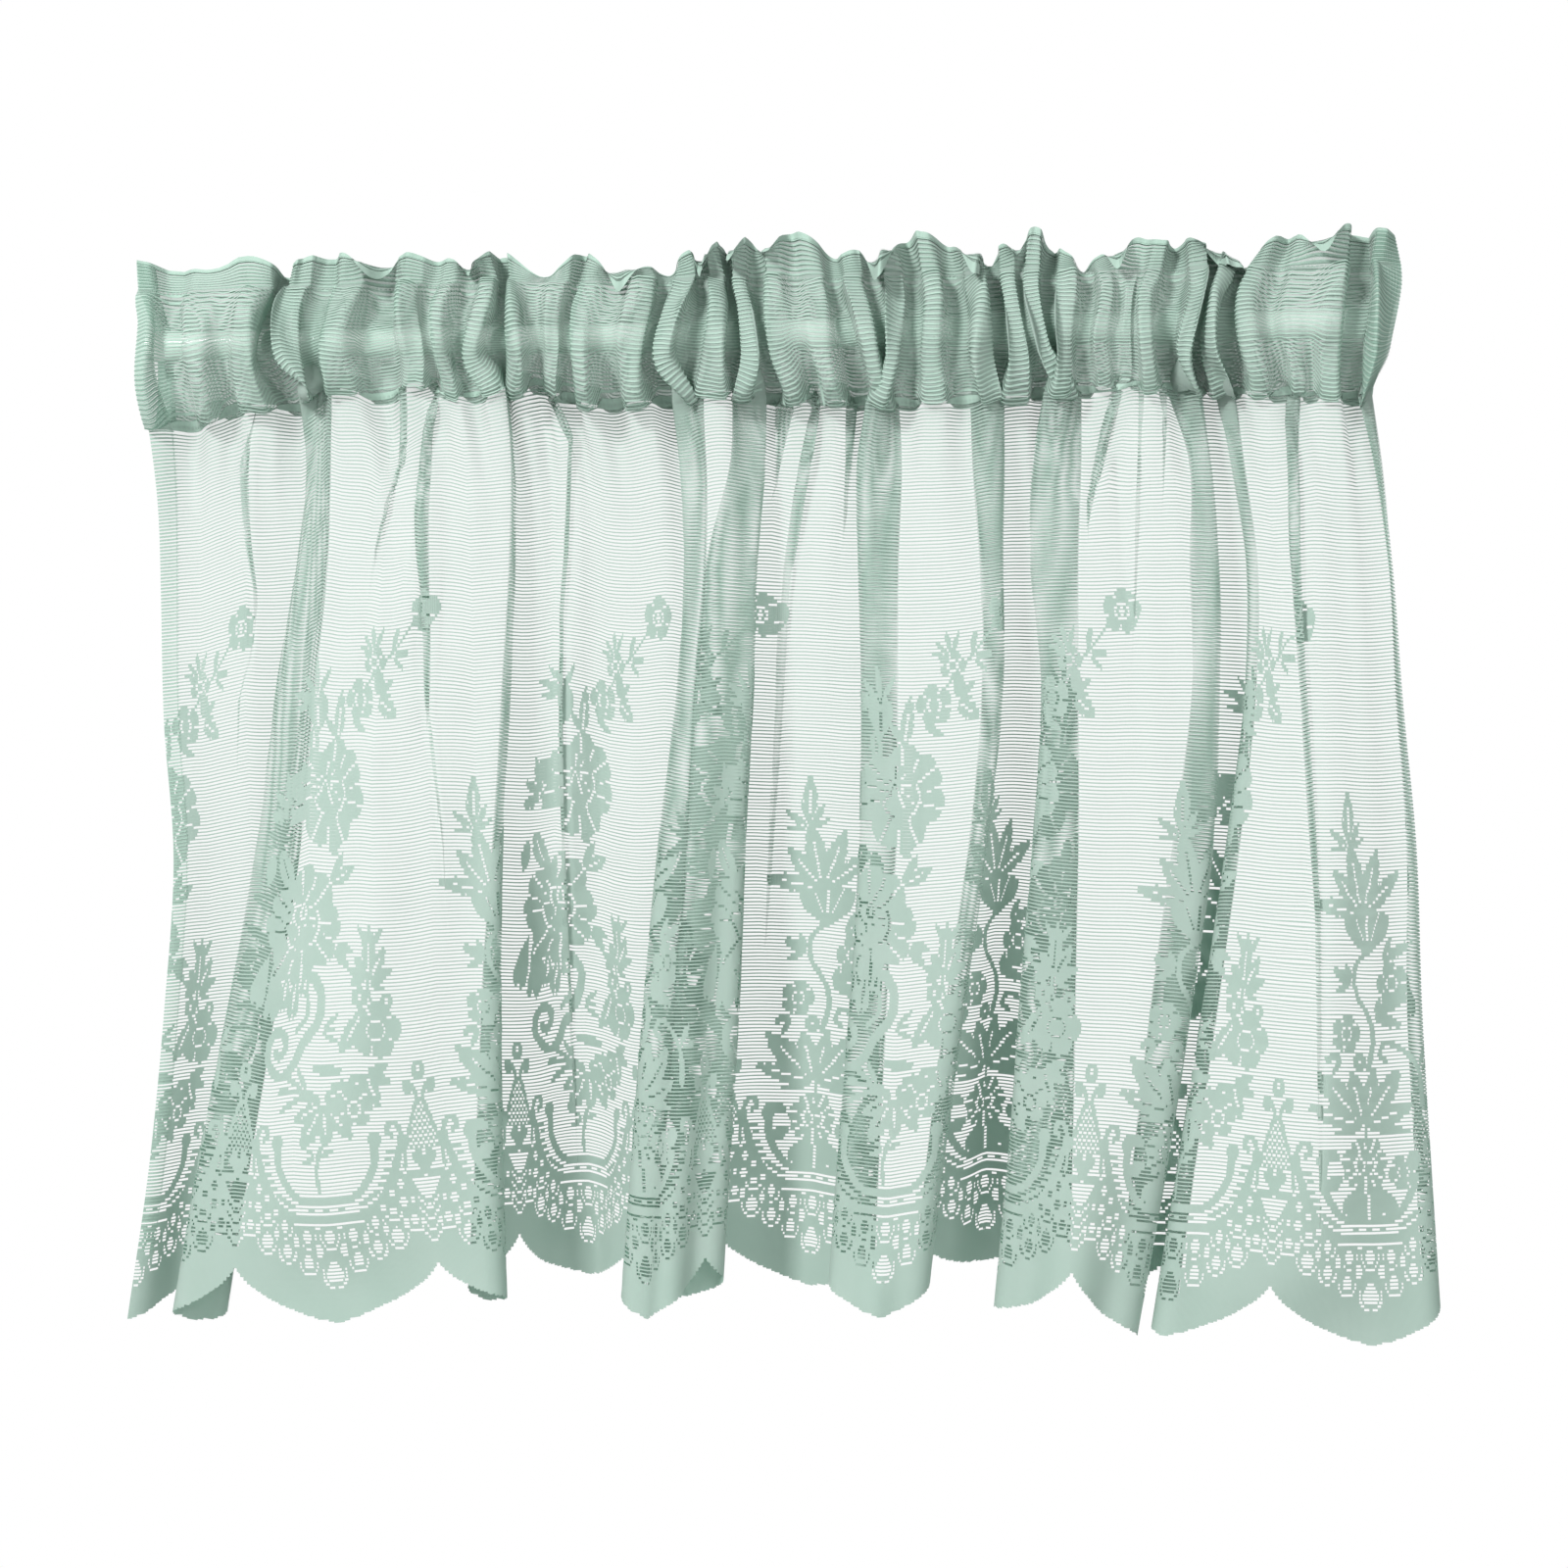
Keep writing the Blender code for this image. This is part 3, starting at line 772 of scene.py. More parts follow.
# %% Edge, eyelets and bands
for middle in (0.0, PITCH):
    d = away(middle)
    side = abs(d)
    here = side < PITCH / 2 + 0.1
    top = np.interp(side, [0, 18, 18.1, 27, 35, 41, 44.5, 47, 51, 55, 59],
                    [54, 54, 58, 63, 72, 83, 88, 78, 73, 67, 62])
    fill(here & (H > scallop_edge(middle)) & (H < top))
    for place, height, width, tall, _ in EYELETS[:OUTLINED]:
        for a in (middle - place, middle + place):
            ring = round_off(a, height, width / 2 + 2.2, tall / 2 + 2.6)
            dotted = (abs(ring - 1) * (width / 2 + 2.2) < 0.55) & (H < height + 0.15 * tall)
            open_up(dotted & here & (H < top - 2.5))
    for place, height, width, tall, point in EYELETS:
        for a in (middle - place, middle + place):
            rise = (H - height) / (tall / 2)
            half = width / 2 * np.sqrt(np.clip(1 - rise * rise, 0, 1)) * (1 - 0.8 * point * rise)
            fill((round_off(a, height, width / 2 + 1.4, tall / 2 + 1.6) < 1) & (H < top))
            open_up((abs(rise) < 0.95) & (abs(away(a)) < half - 0.3) & here)
    fill(here & (H > scallop_edge(middle)) & (H < scallop_edge(middle) + 14))
    # two bands with dashes between them, which end in curls
    fill(here & (side < 19) & (H > 56) & (H < 60))
    open_up(here & (side < 18) & (H > 60) & (H < 66))
    fill(here & (side < 16) & (H > 62) & (H < 64) & ((d + 2.3) % 9 < 4.6))
    fill(here & (side < 16) & (H > 66) & (H < 70))
    stems(middle, BAND_OUTSIDE, 4.4)
    for sign in (1, -1):
        for a, h in smooth_line(BAND_MIDDLE):
            open_up((abs(away(middle + sign * a)) < 3.2) & (abs(H - h) < 1.5))
        for a, h in smooth_line(BAND_MIDDLE)[3::6]:
            fill((abs(away(middle + sign * (a + 1))) < 2.1) & (abs(H - h) < 1))
        fill(round_off(middle + sign * 31, 100, 4.6, 4.2) < 1)
    stems(middle, BAND_INSIDE, 4.0, 5.0)
    stems(middle, BAND_CURL, 3.2)
print("closed squares so far:", int(chart.sum()))

# %% Finials over the notches
for notch in (PITCH / 2, -PITCH / 2):
    d = away(notch)
    # dotted chevrons between the outermost eyelets
    for foot in (42, 48, 54, 60):
        open_up((abs(d) < 6.5) & (abs(H - foot - abs(d) * 1.2) < 1.1))
    # cup, its rim and the heart on it
    open_up((H > 66) & (H < 79) & (abs(d) < (H - 64) * 0.78))
    stems(notch, [(1.4, 65), (6, 70), (10.5, 79)], 2.4)
    fill((abs(d) < 11) & (H > 78) & (H < 82))
    open_up((abs(d) < 1.4) & (H > 78) & (H < 80))
    for sign in (1, -1):
        fill(round_off(notch + sign * 2.9, 89.5, 3.9, 3.9) < 1)
    fill((H > 80) & (H < 90) & (abs(d) < 1.6 + (H - 80) * 0.52))
    open_up((abs(d) < 0.8) & (H > 90) & (H < 94))
    # net of small triangles that narrows upwards
    net = (H > 94) & (H < 120) & (abs(d) < 10 - (H - 94) * 0.28)
    fill(net & ((d + 1.5 * (H // 2 % 2)) % 3 < 1.5))
    # its two sides, and the two loops on top
    stems(notch, [(11.5, 84), (10.5, 95), (6.5, 108), (2.2, 121)], 2.2)
    stems(notch, [(1.6, 121), (3.5, 127), (8, 131), (8.5, 126.5), (6, 126)], 2.6)
    fill(round_off(notch, 137, 4.4, 5.2) < 1)
    open_up(round_off(notch, 137.5, 1.4, 2.4) < 1)
print("share of closed squares in the edge:", round(float(chart[:70].mean()), 2))

# %% [markdown]
# ### Bouquet and rose
#
# The flowers are of no special kind: petals with a dent, leaves with a dotted vein, buds, berries
# and a scroll, set in a loose column over each scallop. Slits are cut after the petals are filled,
# as the open squares of a chart are what parts one petal from the next.

# %% The bouquet over the even scallops
# Places are counted from the scallop's middle. First, a sprig that hangs into the bowl.
stem([(-3, 74), (-4, 84), (-2, 94)], 2.6)
fan(-3, 92, [(200, 13, 4.5), (150, 9, 4), (20, 12, 4.5), (60, 10, 4.5)])
# broad leaves under the scroll
fan(1, 122, [(-120, 30, 13), (-85, 24, 12), (-50, 27, 11), (-15, 25, 13), (25, 21, 12),
             (-150, 24, 9), (165, 20, 8)])
fan(-10, 126, [(150, 27, 5), (175, 28, 5), (205, 25, 5), (120, 18, 5)])
leaf(-8, 140, 14, 138, 7)
# scroll with its spiral
stem([(-21, 189), (-10, 189), (-3, 178), (-5, 165), (-14, 154), (-21, 142),
      (-30, 136), (-39, 141), (-43, 150), (-39, 160), (-31, 160),
      (-28, 152), (-33, 147), (-36, 150)], 6.5, 4.2)
stem([(-13, 178), (-13, 168), (-20, 160)], 3.0)
fan(-3, 160, [(35, 18, 4.5), (10, 15, 4), (-25, 18, 5)])
# bells between the scroll and the big rose
for a, h, length, width in ((-23, 192, 26, 9), (-31, 194, 22, 8), (-15, 190, 12, 7)):
    petal(a, h, a - 2, h - length, width)
    slit(a, h, a - 2, h - length, 0.25, 0.75)
petal(-40, 205, -45, 166, 17)
petal(-48, 204, -58, 172, 12)
slit(-44, 206, -51, 168, 0.1, 0.9)

# %% Open flower at the right, with berries and leaves
blossom(34, 160, 16, 77)
leaf(26, 170, 12, 148, 11)
berry(22, 131, 5.5)
fan(27, 138, [(-70, 22, 9), (-25, 17, 8), (10, 16, 6), (215, 18, 5)])
blossom(20, 117, 11, 20)
# sprig above it
stem([(33, 172), (29, 184), (30, 200)], 2.4)
fan(29, 186, [(150, 18, 6), (118, 17, 8), (60, 22, 9), (88, 32, 9), (25, 18, 7),
              (180, 14, 5), (-20, 14, 5)])
fan(30, 204, [(120, 16, 5.5), (55, 16, 6)])
berry(24, 178, 5.5)
berry(41, 176, 4.5)

# %% The big rose
rose(-22, 218, 33, 8, 72)
rose(-25, 224, 13, 5, 20)
fan(-2, 240, [(25, 22, 9), (60, 20, 7)])
fan(4, 206, [(-10, 15, 7), (-45, 17, 7)])
# leaf and buds between the roses
leaf(-44, 262, -32, 238, 12)
leaf(-50, 258, -54, 240, 8)
fan(-6, 262, [(75, 18, 7), (40, 20, 6), (110, 20, 8), (-30, 12, 6)])
# second rose, with two loose petals at its left
petal(-6, 290, -42, 300, 15)
petal(-6, 290, -40, 279, 14)
slit(-6, 290, -41, 290, 0.3, 1)
rose(-4, 290, 31, 7, 62)
rose(-8, 295, 13, 5, 50)
fan(-38, 284, [(100, 22, 8), (200, 18, 8), (150, 17, 7)])

# %% Buds and blossoms on top
petal(-17, 322, -17, 347, 17, 0.2)
slit(-17, 324, -17, 345, 0.1, 0.7)
leaf(-21, 326, -19, 308, 9)
fan(-17, 342, [(60, 22, 5), (95, 25, 5.5), (130, 22, 5.5), (160, 26, 6), (185, 22, 6)])
leaf(-2, 318, 3, 348, 9)
leaf(-2, 320, -13, 334, 6)
blossom(18, 342, 12, 103)
fan(10, 330, [(-20, 16, 6), (20, 14, 5)])
fan(33, 344, [(80, 18, 8), (40, 16, 6), (-40, 18, 11), (10, 12, 5)])
# arching spray with the little flower at its end
stem([(24, 350), (34, 360), (48, 372), (60, 384)], 1.8)
blossom(31, 364, 9, 70)
fan(31, 368, [(70, 17, 5), (100, 18, 5), (135, 16, 5), (165, 15, 4.5)])
fan(44, 368, [(0, 15, 5.5), (75, 17, 5.5), (-45, 14, 5)])
blossom(70, 391, 13, 80)
open_up(round_off(70, 391, 2.4, 2.2) < 1)

# %% The rose on a curved stem over the odd scallops
# The chart is turned by one scallop, so that the next one stands in the middle.
chart[:] = np.roll(chart, int(PITCH), axis=1)
# lower petals and the rose on them
for a, h in ((-17, 70), (-6, 68), (6, 68), (19, 70)):
    petal(a * 0.15, 88, a, h, 11, 0.1)
slit(0, 86, 0, 68)
rose(-2, 98, 18, 7, 90, 0.85)
blossom(24, 93, 10, 40)
leaf(-18, 92, -32, 82, 8)
leaf(-19, 102, -34, 104, 7)
# tulip with broad leaves
stem([(-1, 110), (-1, 120)], 2.6)
fan(-2, 118, [(138, 44, 16), (108, 32, 15), (75, 33, 13), (48, 41, 15), (18, 36, 12),
              (165, 40, 10), (-5, 34, 6), (190, 26, 6)])


# %% Curling tendril and its buds
stem([(39, 128), (38, 146), (29, 158), (16, 163), (11, 157), (16, 153)], 3.4, 3.0)
fan(37, 148, [(60, 16, 6), (10, 14, 5), (120, 13, 5)])
# stem that winds up, with blossoms
stem([(2, 150), (6, 166), (2, 178), (-7, 190), (-8, 203), (2, 213)], 4.0, 3.0)
blossom(-15, 168, 11, 75)
berry(-5, 153, 5)
fan(-18, 158, [(200, 14, 6), (240, 15, 6)])
blossom(22, 195, 12, 107)
fan(6, 178, [(20, 30, 8), (-15, 24, 7), (55, 14, 5)])
fan(14, 206, [(25, 26, 7), (60, 18, 6)])
fan(-9, 196, [(160, 18, 7), (200, 16, 6), (125, 14, 5)])

# %% Tulip on the stem, and leaves
for a, h, width in ((-16, 234, 12), (-5, 240, 11), (8, 240, 11), (20, 234, 12)):
    petal(2, 210, a, h, width, 0.12)
slit(2, 212, -11, 238, 0.2, 1)
slit(2, 212, 2, 240, 0.2, 1)
slit(2, 212, 15, 238, 0.2, 1)
fan(-2, 232, [(35, 40, 11), (68, 38, 14), (105, 40, 15), (135, 34, 11), (170, 38, 10)])
# bud at the tip
stem([(-12, 262), (-12, 276)], 2.0)
leaf(-12, 272, -12, 299, 9.5)
fan(-12, 268, [(150, 20, 6), (185, 17, 5), (55, 18, 6), (20, 15, 5), (110, 18, 5)])

# %% Scallops are cut
# The chart is turned back to where it was.
chart[:] = np.roll(chart, int(PITCH), axis=1)
for middle in (0.0, PITCH):
    open_up((abs(away(middle)) <= PITCH / 2) & (H < scallop_edge(middle)))
print("closed squares in the chart:", int(chart.sum()))

# %% [markdown]
# ## The chart over the whole cloth
#
# The repeat runs along the whole width, and a bouquet's middle lies on the left edge. The cut
# edge follows the same line as in the chart.

# %% The chart over the whole cloth
columns = np.arange(round(FLAT_WIDTH / MM)) + 0.5
chart_flat = chart[:, (columns + PITCH / 2).astype(int) % int(REPEAT)]
edge_line = cut_edge(np.abs(columns / PITCH - np.round(columns / PITCH)) * 2)
print("chart of the whole cloth:", chart_flat.shape, "squares")

# %% [markdown]
# ## Ribbons of mesh
#
# A rib is a raised ridge of yarn, three quarters of a millimetre tall and two millimetres from the
# next. Modelled as a tube it would need far too many faces, so it is a flat ribbon that follows
# the cloth. Corners are spent where the cloth turns, and few where it runs straight.


# %% Ribbons of mesh on the hanging cloth
def columns_for(v_from, v_to, count):
    """Where ribbons between two heights have their corners: more often where the cloth turns."""
    rows = (TABLE_V >= v_from - 1e-6) & (TABLE_V <= v_to + 1e-6)
    ways = np.diff(TABLE_P[rows], axis=1)
    angles = np.unwrap(np.arctan2(ways[..., 1], ways[..., 0]), axis=1)
    turns = np.abs(np.diff(angles, axis=1)).max(axis=0)
    turns = smooth(np.concatenate([[0], turns, [0]]), 4)
    need = np.cumsum(np.maximum(turns / math.radians(30), GRID / (4 * MM)))
    found = np.interp(np.linspace(0, need[-1], count), need, ACROSS)
    found[0], found[-1] = 0.0, FLAT_WIDTH
    print("columns from", round(v_from / MM), "to", round(v_to / MM), "mm:", count)
    return found


def add_object(name, data):
    made = bpy.data.objects.new(name, data)
    bpy.context.collection.objects.link(made)
    return made


def cloth_mesh(name, u, v, quads, finish, lift):
    """A mesh laid on the hanging cloth, with the flat cloth as its UV map."""
    data = bpy.data.meshes.new(name)
    data.vertices.add(len(u))
    data.vertices.foreach_set("co", hang(u, v, lift).ravel())
    data.loops.add(quads.size)
    data.loops.foreach_set("vertex_index", quads.ravel())
    data.polygons.add(len(quads))
    data.polygons.foreach_set("loop_start", np.arange(0, quads.size, 4))
    data.update(calc_edges=True)
    uv = data.uv_layers.new(name="flat cloth")
    flat = np.stack([u / FLAT_WIDTH, (v - TABLE_V[0]) / FLAT_WIDTH], 1)
    uv.data.foreach_set("uv", flat[quads.ravel()].ravel())
    data.shade_smooth()
    data.materials.append(finish)
    print(name, len(quads) * 2, "triangles")
    return add_object(name, data)


# %% Ribbons from rows of the chart
def ribbons(name, runs, finish, corners, lift=0.0):
    """A mesh of flat ribbons: runs are rows of (v of the top, v of the foot, u left, u right)."""
    us, vs, faces, count = [], [], [], 0
    for v_top, v_foot, left, right in runs:
        first, last = np.searchsorted(corners, [left + 0.2 * MM, right - 0.2 * MM])
        line = np.concatenate([[left], corners[first:last], [right]])
        n = len(line)
        us += [line, line]
        vs += [np.full(n, v_top), np.full(n, v_foot)]
        k = np.arange(count, count + n - 1)
        faces.append(np.stack([k, k + n, k + n + 1, k + 1], 1))
        count += 2 * n
    u, v, quads = (np.concatenate(parts) for parts in (us, vs, faces))
    return cloth_mesh(name, u, v, quads, finish, lift)


def runs_of(row):
    """Starts and ends of the True stretches in a row."""
    edges = np.flatnonzero(np.diff(np.concatenate([[0], row.astype(int), [0]])))
    return zip(edges[::2], edges[1::2])


# %% [markdown]
# ## Yarn and net
#
# The yarn is soft matt cotton. In front light it is a pale sage, and where light comes through a
# fold it glows a deeper green. A plain diffuse shader would turn grey in the folds, so some light
# passes through by a translucent shader. Between the ribs runs a net of threads too fine to be
# modelled one by one: a sheet that is mostly clear stands for it, a little closer in the gathered
# pocket. The knit's fine stitches and its uneven dye are one node group that every finish of the
# cloth uses.


# %% Helpers for nodes
def feed(tree, node, inputs):
    """Gives each input its value, or a link where the value is another node's output."""
    for name, given in inputs.items():
        if isinstance(given, bpy.types.NodeSocket):
            tree.links.new(given, node.inputs[name])
        else:
            node.inputs[name].default_value = given


def add_node(tree, kind, inputs, **settings):
    """A new shader node; its settings come first, because they decide which inputs it has."""
    node = tree.nodes.new("ShaderNode" + kind)
    for name, setting in settings.items():
        setattr(node, name, setting)
    feed(tree, node, inputs)
    return node


def new_material(name):
    """A material, its node tree and its main shader."""
    made = bpy.data.materials.new(name)
    made.use_nodes = True
    return made, made.node_tree, made.node_tree.nodes["Principled BSDF"]


def ramp(tree, factor, low, high, low_at=0.0, high_at=1.0):
    """A colour that runs from low to high as the factor rises."""
    node = add_node(tree, "ValToRGB", {"Fac": factor})
    for element, grey, place in zip(node.color_ramp.elements, (low, high), (low_at, high_at)):
        element.position, element.color = place, grey
    return node.outputs["Color"]


# %% Knit group
def knit_group():
    """Colour and height of the knit, from the flat cloth's own UV map in units of its width."""
    group = bpy.data.node_groups.new("knitted stitches", "ShaderNodeTree")
    for name, kind, value in (("Light Yarn", "Color", (0.36, 0.47, 0.42, 1)),
                              ("Deep Yarn", "Color", (0.3, 0.42, 0.37, 1)),
                              ("Wales", "Float", 800.0), ("Cloud Size", "Float", 40.0)):
        group.interface.new_socket(
            name=name, in_out="INPUT", socket_type="NodeSocket" + kind).default_value = value
    for name, kind in (("Color", "Color"), ("Height", "Float")):
        group.interface.new_socket(name=name, in_out="OUTPUT", socket_type="NodeSocket" + kind)
    given = group.nodes.new("NodeGroupInput").outputs
    flat = add_node(group, "UVMap", {}, uv_map="flat cloth").outputs["UV"]
    wales = add_node(
        group, "TexWave",
        {"Vector": flat, "Scale": given["Wales"], "Distortion": 1.5, "Detail Scale": 2.0},
        wave_type="BANDS", bands_direction="X").outputs["Fac"]
    clouds = add_node(
        group, "TexNoise", {"Vector": flat, "Scale": given["Cloud Size"], "Detail": 6.0})
    share = add_node(group, "Math", {0: clouds.outputs["Fac"], 1: 0.8}, operation="MULTIPLY")
    blend = add_node(
        group, "Math", {0: wales, 1: 0.35, 2: share.outputs[0]}, operation="MULTIPLY_ADD")
    colour = add_node(
        group, "Mix", {0: blend.outputs[0], 6: given["Deep Yarn"], 7: given["Light Yarn"]},
        data_type="RGBA")
    feed(group, group.nodes.new("NodeGroupOutput"), {"Color": colour.outputs[2], "Height": wales})
    return group


KNIT = knit_group()
LIGHT_YARN, DEEP_YARN = (0.415, 0.495, 0.455, 1), (0.31, 0.41, 0.36, 1)
THROUGH = (0.14, 0.38, 0.26, 1)
print("knit group:", len(KNIT.nodes), "nodes")


# %% Yarn
def cloth_finish(name, through, light=LIGHT_YARN, deep=DEEP_YARN):
    """Knitted cotton: matt in front light, and green where light comes through."""
    made, tree, shader = new_material(name)
    knit = add_node(tree, "Group", {"Light Yarn": light, "Deep Yarn": deep}, node_tree=KNIT)
    bump = add_node(
        tree, "Bump", {"Height": knit.outputs["Height"], "Strength": 0.35, "Distance": 0.0003})
    feed(tree, shader, {
        "Base Color": knit.outputs["Color"], "Normal": bump.outputs["Normal"],
        "Roughness": 0.9, "Specular IOR Level": 0.15, "Sheen Weight": 0.15})
    glow = add_node(tree, "BsdfTranslucent", {"Color": THROUGH})
    blend = add_node(
        tree, "MixShader", {"Fac": through, 1: shader.outputs["BSDF"], 2: glow.outputs["BSDF"]})
    feed(tree, tree.nodes["Material Output"], {"Surface": blend.outputs["Shader"]})
    return made


yarn = cloth_finish("sage yarn", 0.34)
# painted shade: a darker, greener copy of the sage yarn that stands for the shade of the gathered
# pocket; the seam band, the frill's lip and the side hems take it too, and it lets less light
# through
painted_shade_close_yarn = cloth_finish("sage yarn lying close, painted shade", 0.18,
                          (0.385, 0.50, 0.44, 1), (0.27, 0.405, 0.335, 1))
# painted shade: a much darker copy of the sage yarn that stands for the deep shade on the pocket's
# doubled side hems
painted_shade_double_yarn = cloth_finish("sage yarn lying double, painted deep shade", 0.25,
                            (0.25, 0.36, 0.305, 1), (0.17, 0.28, 0.225, 1))
print("finishes:", yarn.name, "/", painted_shade_close_yarn.name, "/", painted_shade_double_yarn.name)

# %% Net finish
NET_COVER, POCKET_COVER, GATHERED_COVER = 0.10, 0.13, 0.75
NEAR = 36  # table steps either side over which the gathering is measured


def net_cover(u, v):
    """The net's share of yarn: it lies closer where the pocket's cloth is gathered."""
    row = np.clip(np.searchsorted(TABLE_V, v), 0, len(TABLE_V) - 1)
    column = np.clip((u / GRID).astype(int), NEAR, len(ACROSS) - NEAR - 1)
    reach = np.abs(TABLE_P[row, column + NEAR, 0] - TABLE_P[row, column - NEAR, 0])
    gathered = np.clip(1 - reach / (2 * NEAR * GRID), 0, 1)
    near_seam = np.exp(-np.maximum(v, 0) / (25 * MM))
    return NET_COVER + POCKET_COVER * (v < 0) + GATHERED_COVER * gathered * near_seam


def net_finish(name):
    """The yarn's finish, clear wherever the net has no yarn."""
    made = cloth_finish(name, 0.3)
    tree = made.node_tree
    output = tree.nodes["Material Output"]
    yarns = output.inputs["Surface"].links[0].from_socket
    cover = add_node(tree, "Attribute", {}, attribute_name="cover")
    clear = add_node(tree, "BsdfTransparent", {})
    last = add_node(
        tree, "MixShader", {"Fac": cover.outputs["Fac"], 1: clear.outputs["BSDF"], 2: yarns})
    feed(tree, output, {"Surface": last.outputs["Shader"]})
    return made


net = net_finish("fine net")
print(net.name, "covers at least", NET_COVER)

# %% [markdown]
# ## From chart to cloth
#
# Each rib is a ribbon three quarters of a millimetre wide, every two millimetres, from edge to
# edge. Each closed stretch of the chart fills the gap between two ribs. Laid on the table of the
# hanging cloth, they bend with every fold, so light, shade and the see-through layers all come
# from real geometry. The corners lie close where the cloth turns and far apart where it is flat.

# %% Ribs and lace work
RIB = 0.75 * MM
CRIMPED, PARTING = 50 * MM, 0.5 * BODY
crimped_corners = columns_for(0, CRIMPED, 1080)
upper_corners = columns_for(CRIMPED, PARTING, 760)
lower_corners = columns_for(PARTING, BODY, 740)
pocket_corners = columns_for(TABLE_V[0], 0, 1080)
low_ribs, high_ribs, top_ribs, closed, back_ribs, front_ribs = [], [], [], [], [], []
for k in range(int(BODY / MM / ROW)):
    height = k * ROW
    v_foot = BODY - height * MM
    v_top = v_foot - RIB
    target = low_ribs if v_foot > PARTING else high_ribs if v_foot > CRIMPED else top_ribs
    for start, end in runs_of(edge_line < height + 0.35):
        target.append((v_top, v_foot, start * MM, end * MM))
    if k < ROWS:
        for start, end in runs_of(chart_flat[k] & (edge_line < height + 1.0)):
            closed.append((v_foot - ROW * MM, v_top, start * MM, end * MM))
for v in np.arange(TABLE_V[0] + 0.5 * MM, -0.5 * MM, ROW * MM):
    (front_ribs if v > FRILL_V else back_ribs).append((v, v + RIB, 0.0, FLAT_WIDTH))

pieces = [
    ribbons("ribs_of_the_lace", low_ribs, yarn, lower_corners),
    ribbons("ribs_of_the_ground", high_ribs, yarn, upper_corners),
    ribbons("ribs_under_the_seam", top_ribs, yarn, crimped_corners),
    ribbons("lace_work", closed, yarn, lower_corners),
    # the pocket's ribs take the yarn with painted shade
    ribbons("ribs_of_the_pocket_back", back_ribs, painted_shade_close_yarn, pocket_corners),
    ribbons("ribs_of_the_pocket_front", front_ribs, painted_shade_close_yarn, pocket_corners),
]

# %% [markdown]
# ## Hems, seam and stitches
#
# The two side edges are turned in and sewn, so their ribs lie double. The pocket's seam is a
# narrow close band, and a row of small stitches runs on it, on the line under the heading and
# down each hem. They are ribbons too, lifted a little off the cloth.

# %% Hems, seam and stitches
HEM, LIP = 13 * MM, 2.6 * MM
HEM_END = BODY - 40 * MM
STITCH_LENGTH, STITCH_STEP, STITCH_WIDTH = 1.7 * MM, 2.7 * MM, 0.45 * MM
LIFT = {"hem": 0.3 * MM, "lip": 0.2 * MM, "stitch": 0.6 * MM}  # off the cloth, towards the front
hem_ribs, pocket_hem_ribs = [], []
for v in np.arange(TABLE_V[0] + 1.5 * MM, HEM_END, ROW * MM):
    for start, end in ((0.0, HEM), (FLAT_WIDTH - HEM, FLAT_WIDTH)):
        (hem_ribs if v > 0 else pocket_hem_ribs).append((v, v + 1.1 * RIB, start, end))
stitches = []
for line in (-1.1 * MM, -POCKET_WALL):
    for start in np.arange(2 * MM, FLAT_WIDTH - 3 * MM, STITCH_STEP):
        stitches.append((line, line + STITCH_WIDTH, start, start + STITCH_LENGTH))
for start in (HEM - 1.5 * MM, FLAT_WIDTH - HEM + MM):
    for v in np.arange(FRILL_V + 2 * MM, HEM_END, STITCH_STEP):
        stitches.append((v, v + STITCH_LENGTH, start, start + STITCH_WIDTH))
# the hems, the seam band and the frill's lip take the yarn with painted shade
pieces += [
    ribbons("side_hems", hem_ribs, painted_shade_close_yarn, pocket_corners, LIFT["hem"]),
    # the pocket's side hems take the darkest yarn, with painted shade
    ribbons("side_hems_of_the_pocket", pocket_hem_ribs, painted_shade_double_yarn, pocket_corners,
            LIFT["hem"]),
    ribbons("seam_band", [(-2.4 * MM, 0.0, 0.0, FLAT_WIDTH)], painted_shade_close_yarn, pocket_corners,
            LIFT["hem"]),
    ribbons("lip_of_the_frill", [(FRILL_V - LIP, FRILL_V, 0.0, FLAT_WIDTH),
                                 (FRILL_V, FRILL_V + LIP, 0.0, FLAT_WIDTH)],
            painted_shade_close_yarn, pocket_corners, LIFT["lip"]),
    ribbons("stitches", stitches, yarn, pocket_corners, LIFT["stitch"]),
]

# %% [markdown]
# ## The sheet itself
#
# The net of fine threads is the one piece that is the whole cloth: 1.6 m wide and cut to the
# scallops. It is the sheet, and the ribs, the lace work, the hems and the stitches are the pieces
# on it.

# %% Net over the whole cloth
NET_LIFT = -0.45 * MM  # it lies behind the ribs


def whole_net(name, finish, corners, pocket_rows, body_rows):
    """One mesh for the whole sheet, cut to the scallops, with its share of yarn as an attribute."""
    upper = np.linspace(TABLE_V[0], 0, pocket_rows)[:-1]
    cut = BODY - np.interp(corners / MM, columns, edge_line) * MM
    lower = np.linspace(0, 1, body_rows)[:, None] * cut[None, :]
    v = np.vstack([np.repeat(upper[:, None], len(corners), 1), lower])
    u = np.broadcast_to(corners, v.shape)
    across = len(corners)
    k = (np.arange(len(v) - 1)[:, None] * across + np.arange(across - 1)[None, :]).ravel()
    quads = np.stack([k, k + across, k + across + 1, k + 1], 1)
    made = cloth_mesh(name, u.ravel(), v.ravel(), quads, finish, NET_LIFT)
    cover = made.data.attributes.new("cover", "FLOAT", "POINT")
    cover.data.foreach_set("value", net_cover(u.ravel(), v.ravel()))
    return made


cloth = whole_net("net_of_the_cloth", net, pocket_corners, 38, 42)
for piece in pieces + [cloth]:
    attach(piece, "root")
    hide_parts("lace_valance")


# %% [markdown]
# ## The rod
#
# The rod is a slim steel tube with white paint, and its solid is right as it is. Only its finish is
# made: satin white paint with a faint orange peel and a little grey dust in the hollows of a soft
# noise.

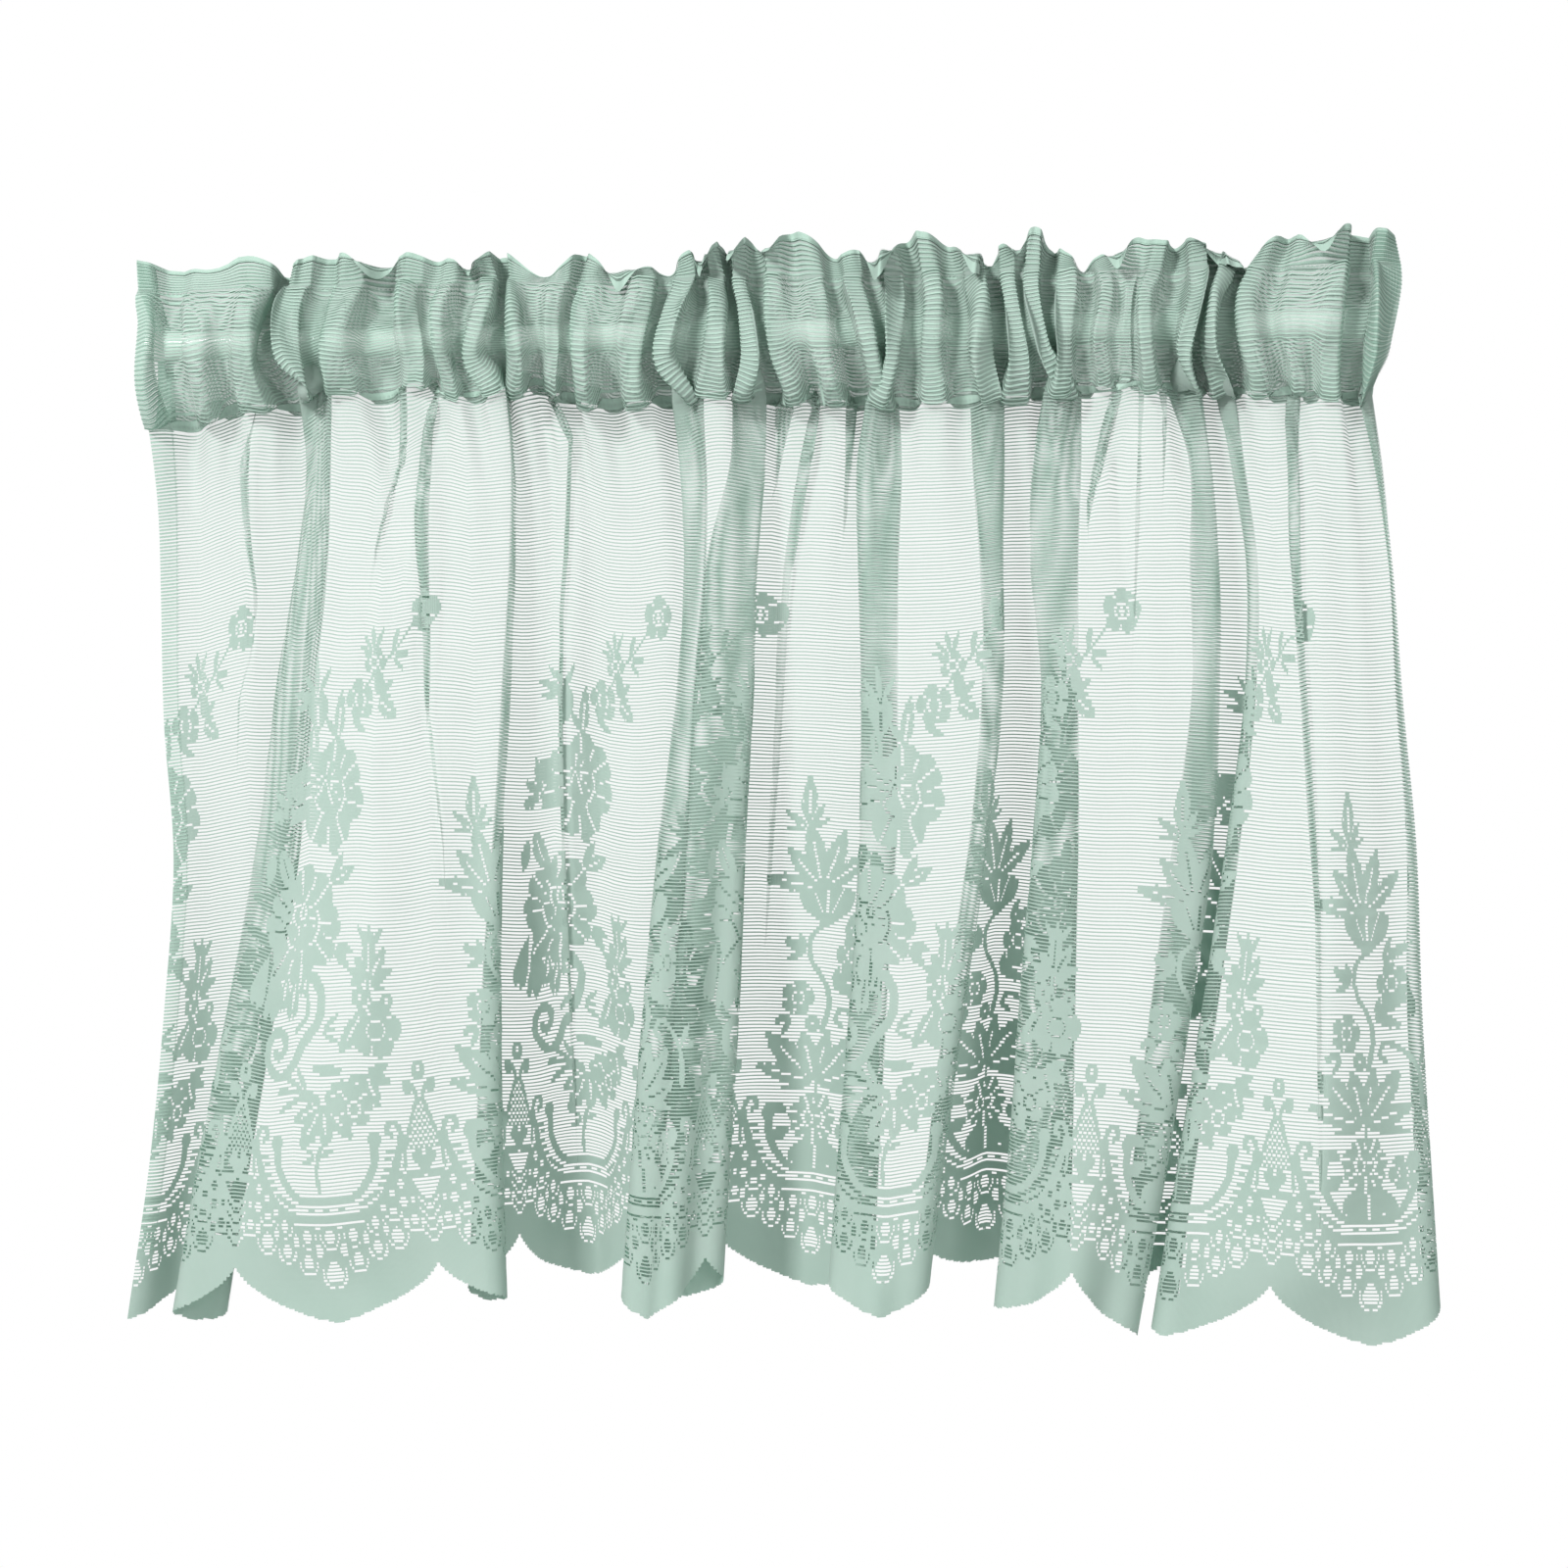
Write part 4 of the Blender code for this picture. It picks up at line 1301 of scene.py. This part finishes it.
# %% White paint
paint, tree, shader = new_material("white satin paint")
place = add_node(tree, "TexCoord", {}).outputs["Object"]
dust = add_node(tree, "TexNoise", {"Vector": place, "Scale": 18.0, "Detail": 5.0}).outputs["Fac"]
peel = add_node(tree, "TexNoise", {"Vector": place, "Scale": 900.0}).outputs["Fac"]
gloss = add_node(tree, "MapRange", {"Value": dust, "To Min": 0.45, "To Max": 0.3})
bump = add_node(tree, "Bump", {"Height": peel, "Strength": 0.1, "Distance": 0.0002})
feed(tree, shader, {
    "Base Color": ramp(tree, dust, (0.8, 0.82, 0.8, 1), (0.92, 0.93, 0.92, 1), 0.3, 0.6),
    "Roughness": gloss.outputs["Result"], "Normal": bump.outputs["Normal"], "Coat Weight": 0.2})
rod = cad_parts["curtain_rod"]
for slot in rod.material_slots:
    slot.material = paint
print("painted", rod.name, "in", len(rod.material_slots), "slots")

# %% [markdown]
# ## Floor, light and camera
#
# A valance shows best against white. The studio is a white surround that lights softly from all
# sides, a key light from the upper left for the folds' shading, a weak fill from the right, and a
# pale floor well below. The camera looks almost straight on.


# %% Lights
def area_light(name, place, target, size, watts):
    lamp = bpy.data.lights.new(name, "AREA")
    lamp.size = size
    lamp.energy = watts
    made = add_object(name, lamp)
    made.location = place
    made.rotation_euler = (Vector(target) - Vector(place)).to_track_quat("-Z", "Y").to_euler()


MIDDLE = (0, 0, -0.28)
area_light("key", (-1.15, -2.0, 1.15), MIDDLE, 0.5, 100)
area_light("fill", (1.3, -2.2, 0.3), MIDDLE, 1.6, 33)

# %% Floor
paint, tree, shader = new_material("pale floor")
grain = add_node(tree, "TexNoise", {"Scale": 30.0}).outputs["Fac"]
feed(tree, shader, {"Base Color": ramp(tree, grain, (0.88, 0.88, 0.88, 1), (0.92, 0.92, 0.92, 1))})

shape = bmesh.new()
bmesh.ops.create_grid(shape, x_segments=1, y_segments=1, size=1.0)
bmesh.ops.scale(shape, vec=(1.7, 1.35, 1.0), verts=shape.verts)
bmesh.ops.translate(shape, vec=(0.0, -0.4, -1.0), verts=shape.verts)
floor_data = bpy.data.meshes.new("floor")
shape.to_mesh(floor_data)
shape.free()
floor_data.materials.append(paint)
add_object("floor", floor_data)

# %% White surround
world = bpy.data.worlds.new("studio")
bpy.context.scene.world = world
world.use_nodes = True
tree = world.node_tree
path = add_node(tree, "LightPath", {})
strength = add_node(
    tree, "Mix", {0: path.outputs["Is Camera Ray"], 2: 0.38, 3: 1.0}, data_type="FLOAT")
feed(tree, tree.nodes["Background"], {"Color": (1, 1, 1, 1), "Strength": strength.outputs[0]})
bpy.context.scene.view_settings.view_transform = "Standard"
bpy.context.scene.cycles.transparent_max_bounces = 48

# %% Camera
camera_data = bpy.data.cameras.new("camera")
camera_data.sensor_width = 36
camera_data.lens = 63.2
camera = add_object("camera", camera_data)
AIM = Vector((0.0187, 0.0, -0.254))
azimuth, elevation, distance = math.radians(6), math.radians(-1.2), 1.55
toward = Vector((math.sin(azimuth) * math.cos(elevation), -math.cos(azimuth) * math.cos(elevation),
                 math.sin(elevation)))
camera.location = AIM + distance * toward
camera.rotation_euler = (-toward).to_track_quat("-Z", "Y").to_euler()
bpy.context.scene.camera = camera
print("camera at", [round(part, 3) for part in camera.location])
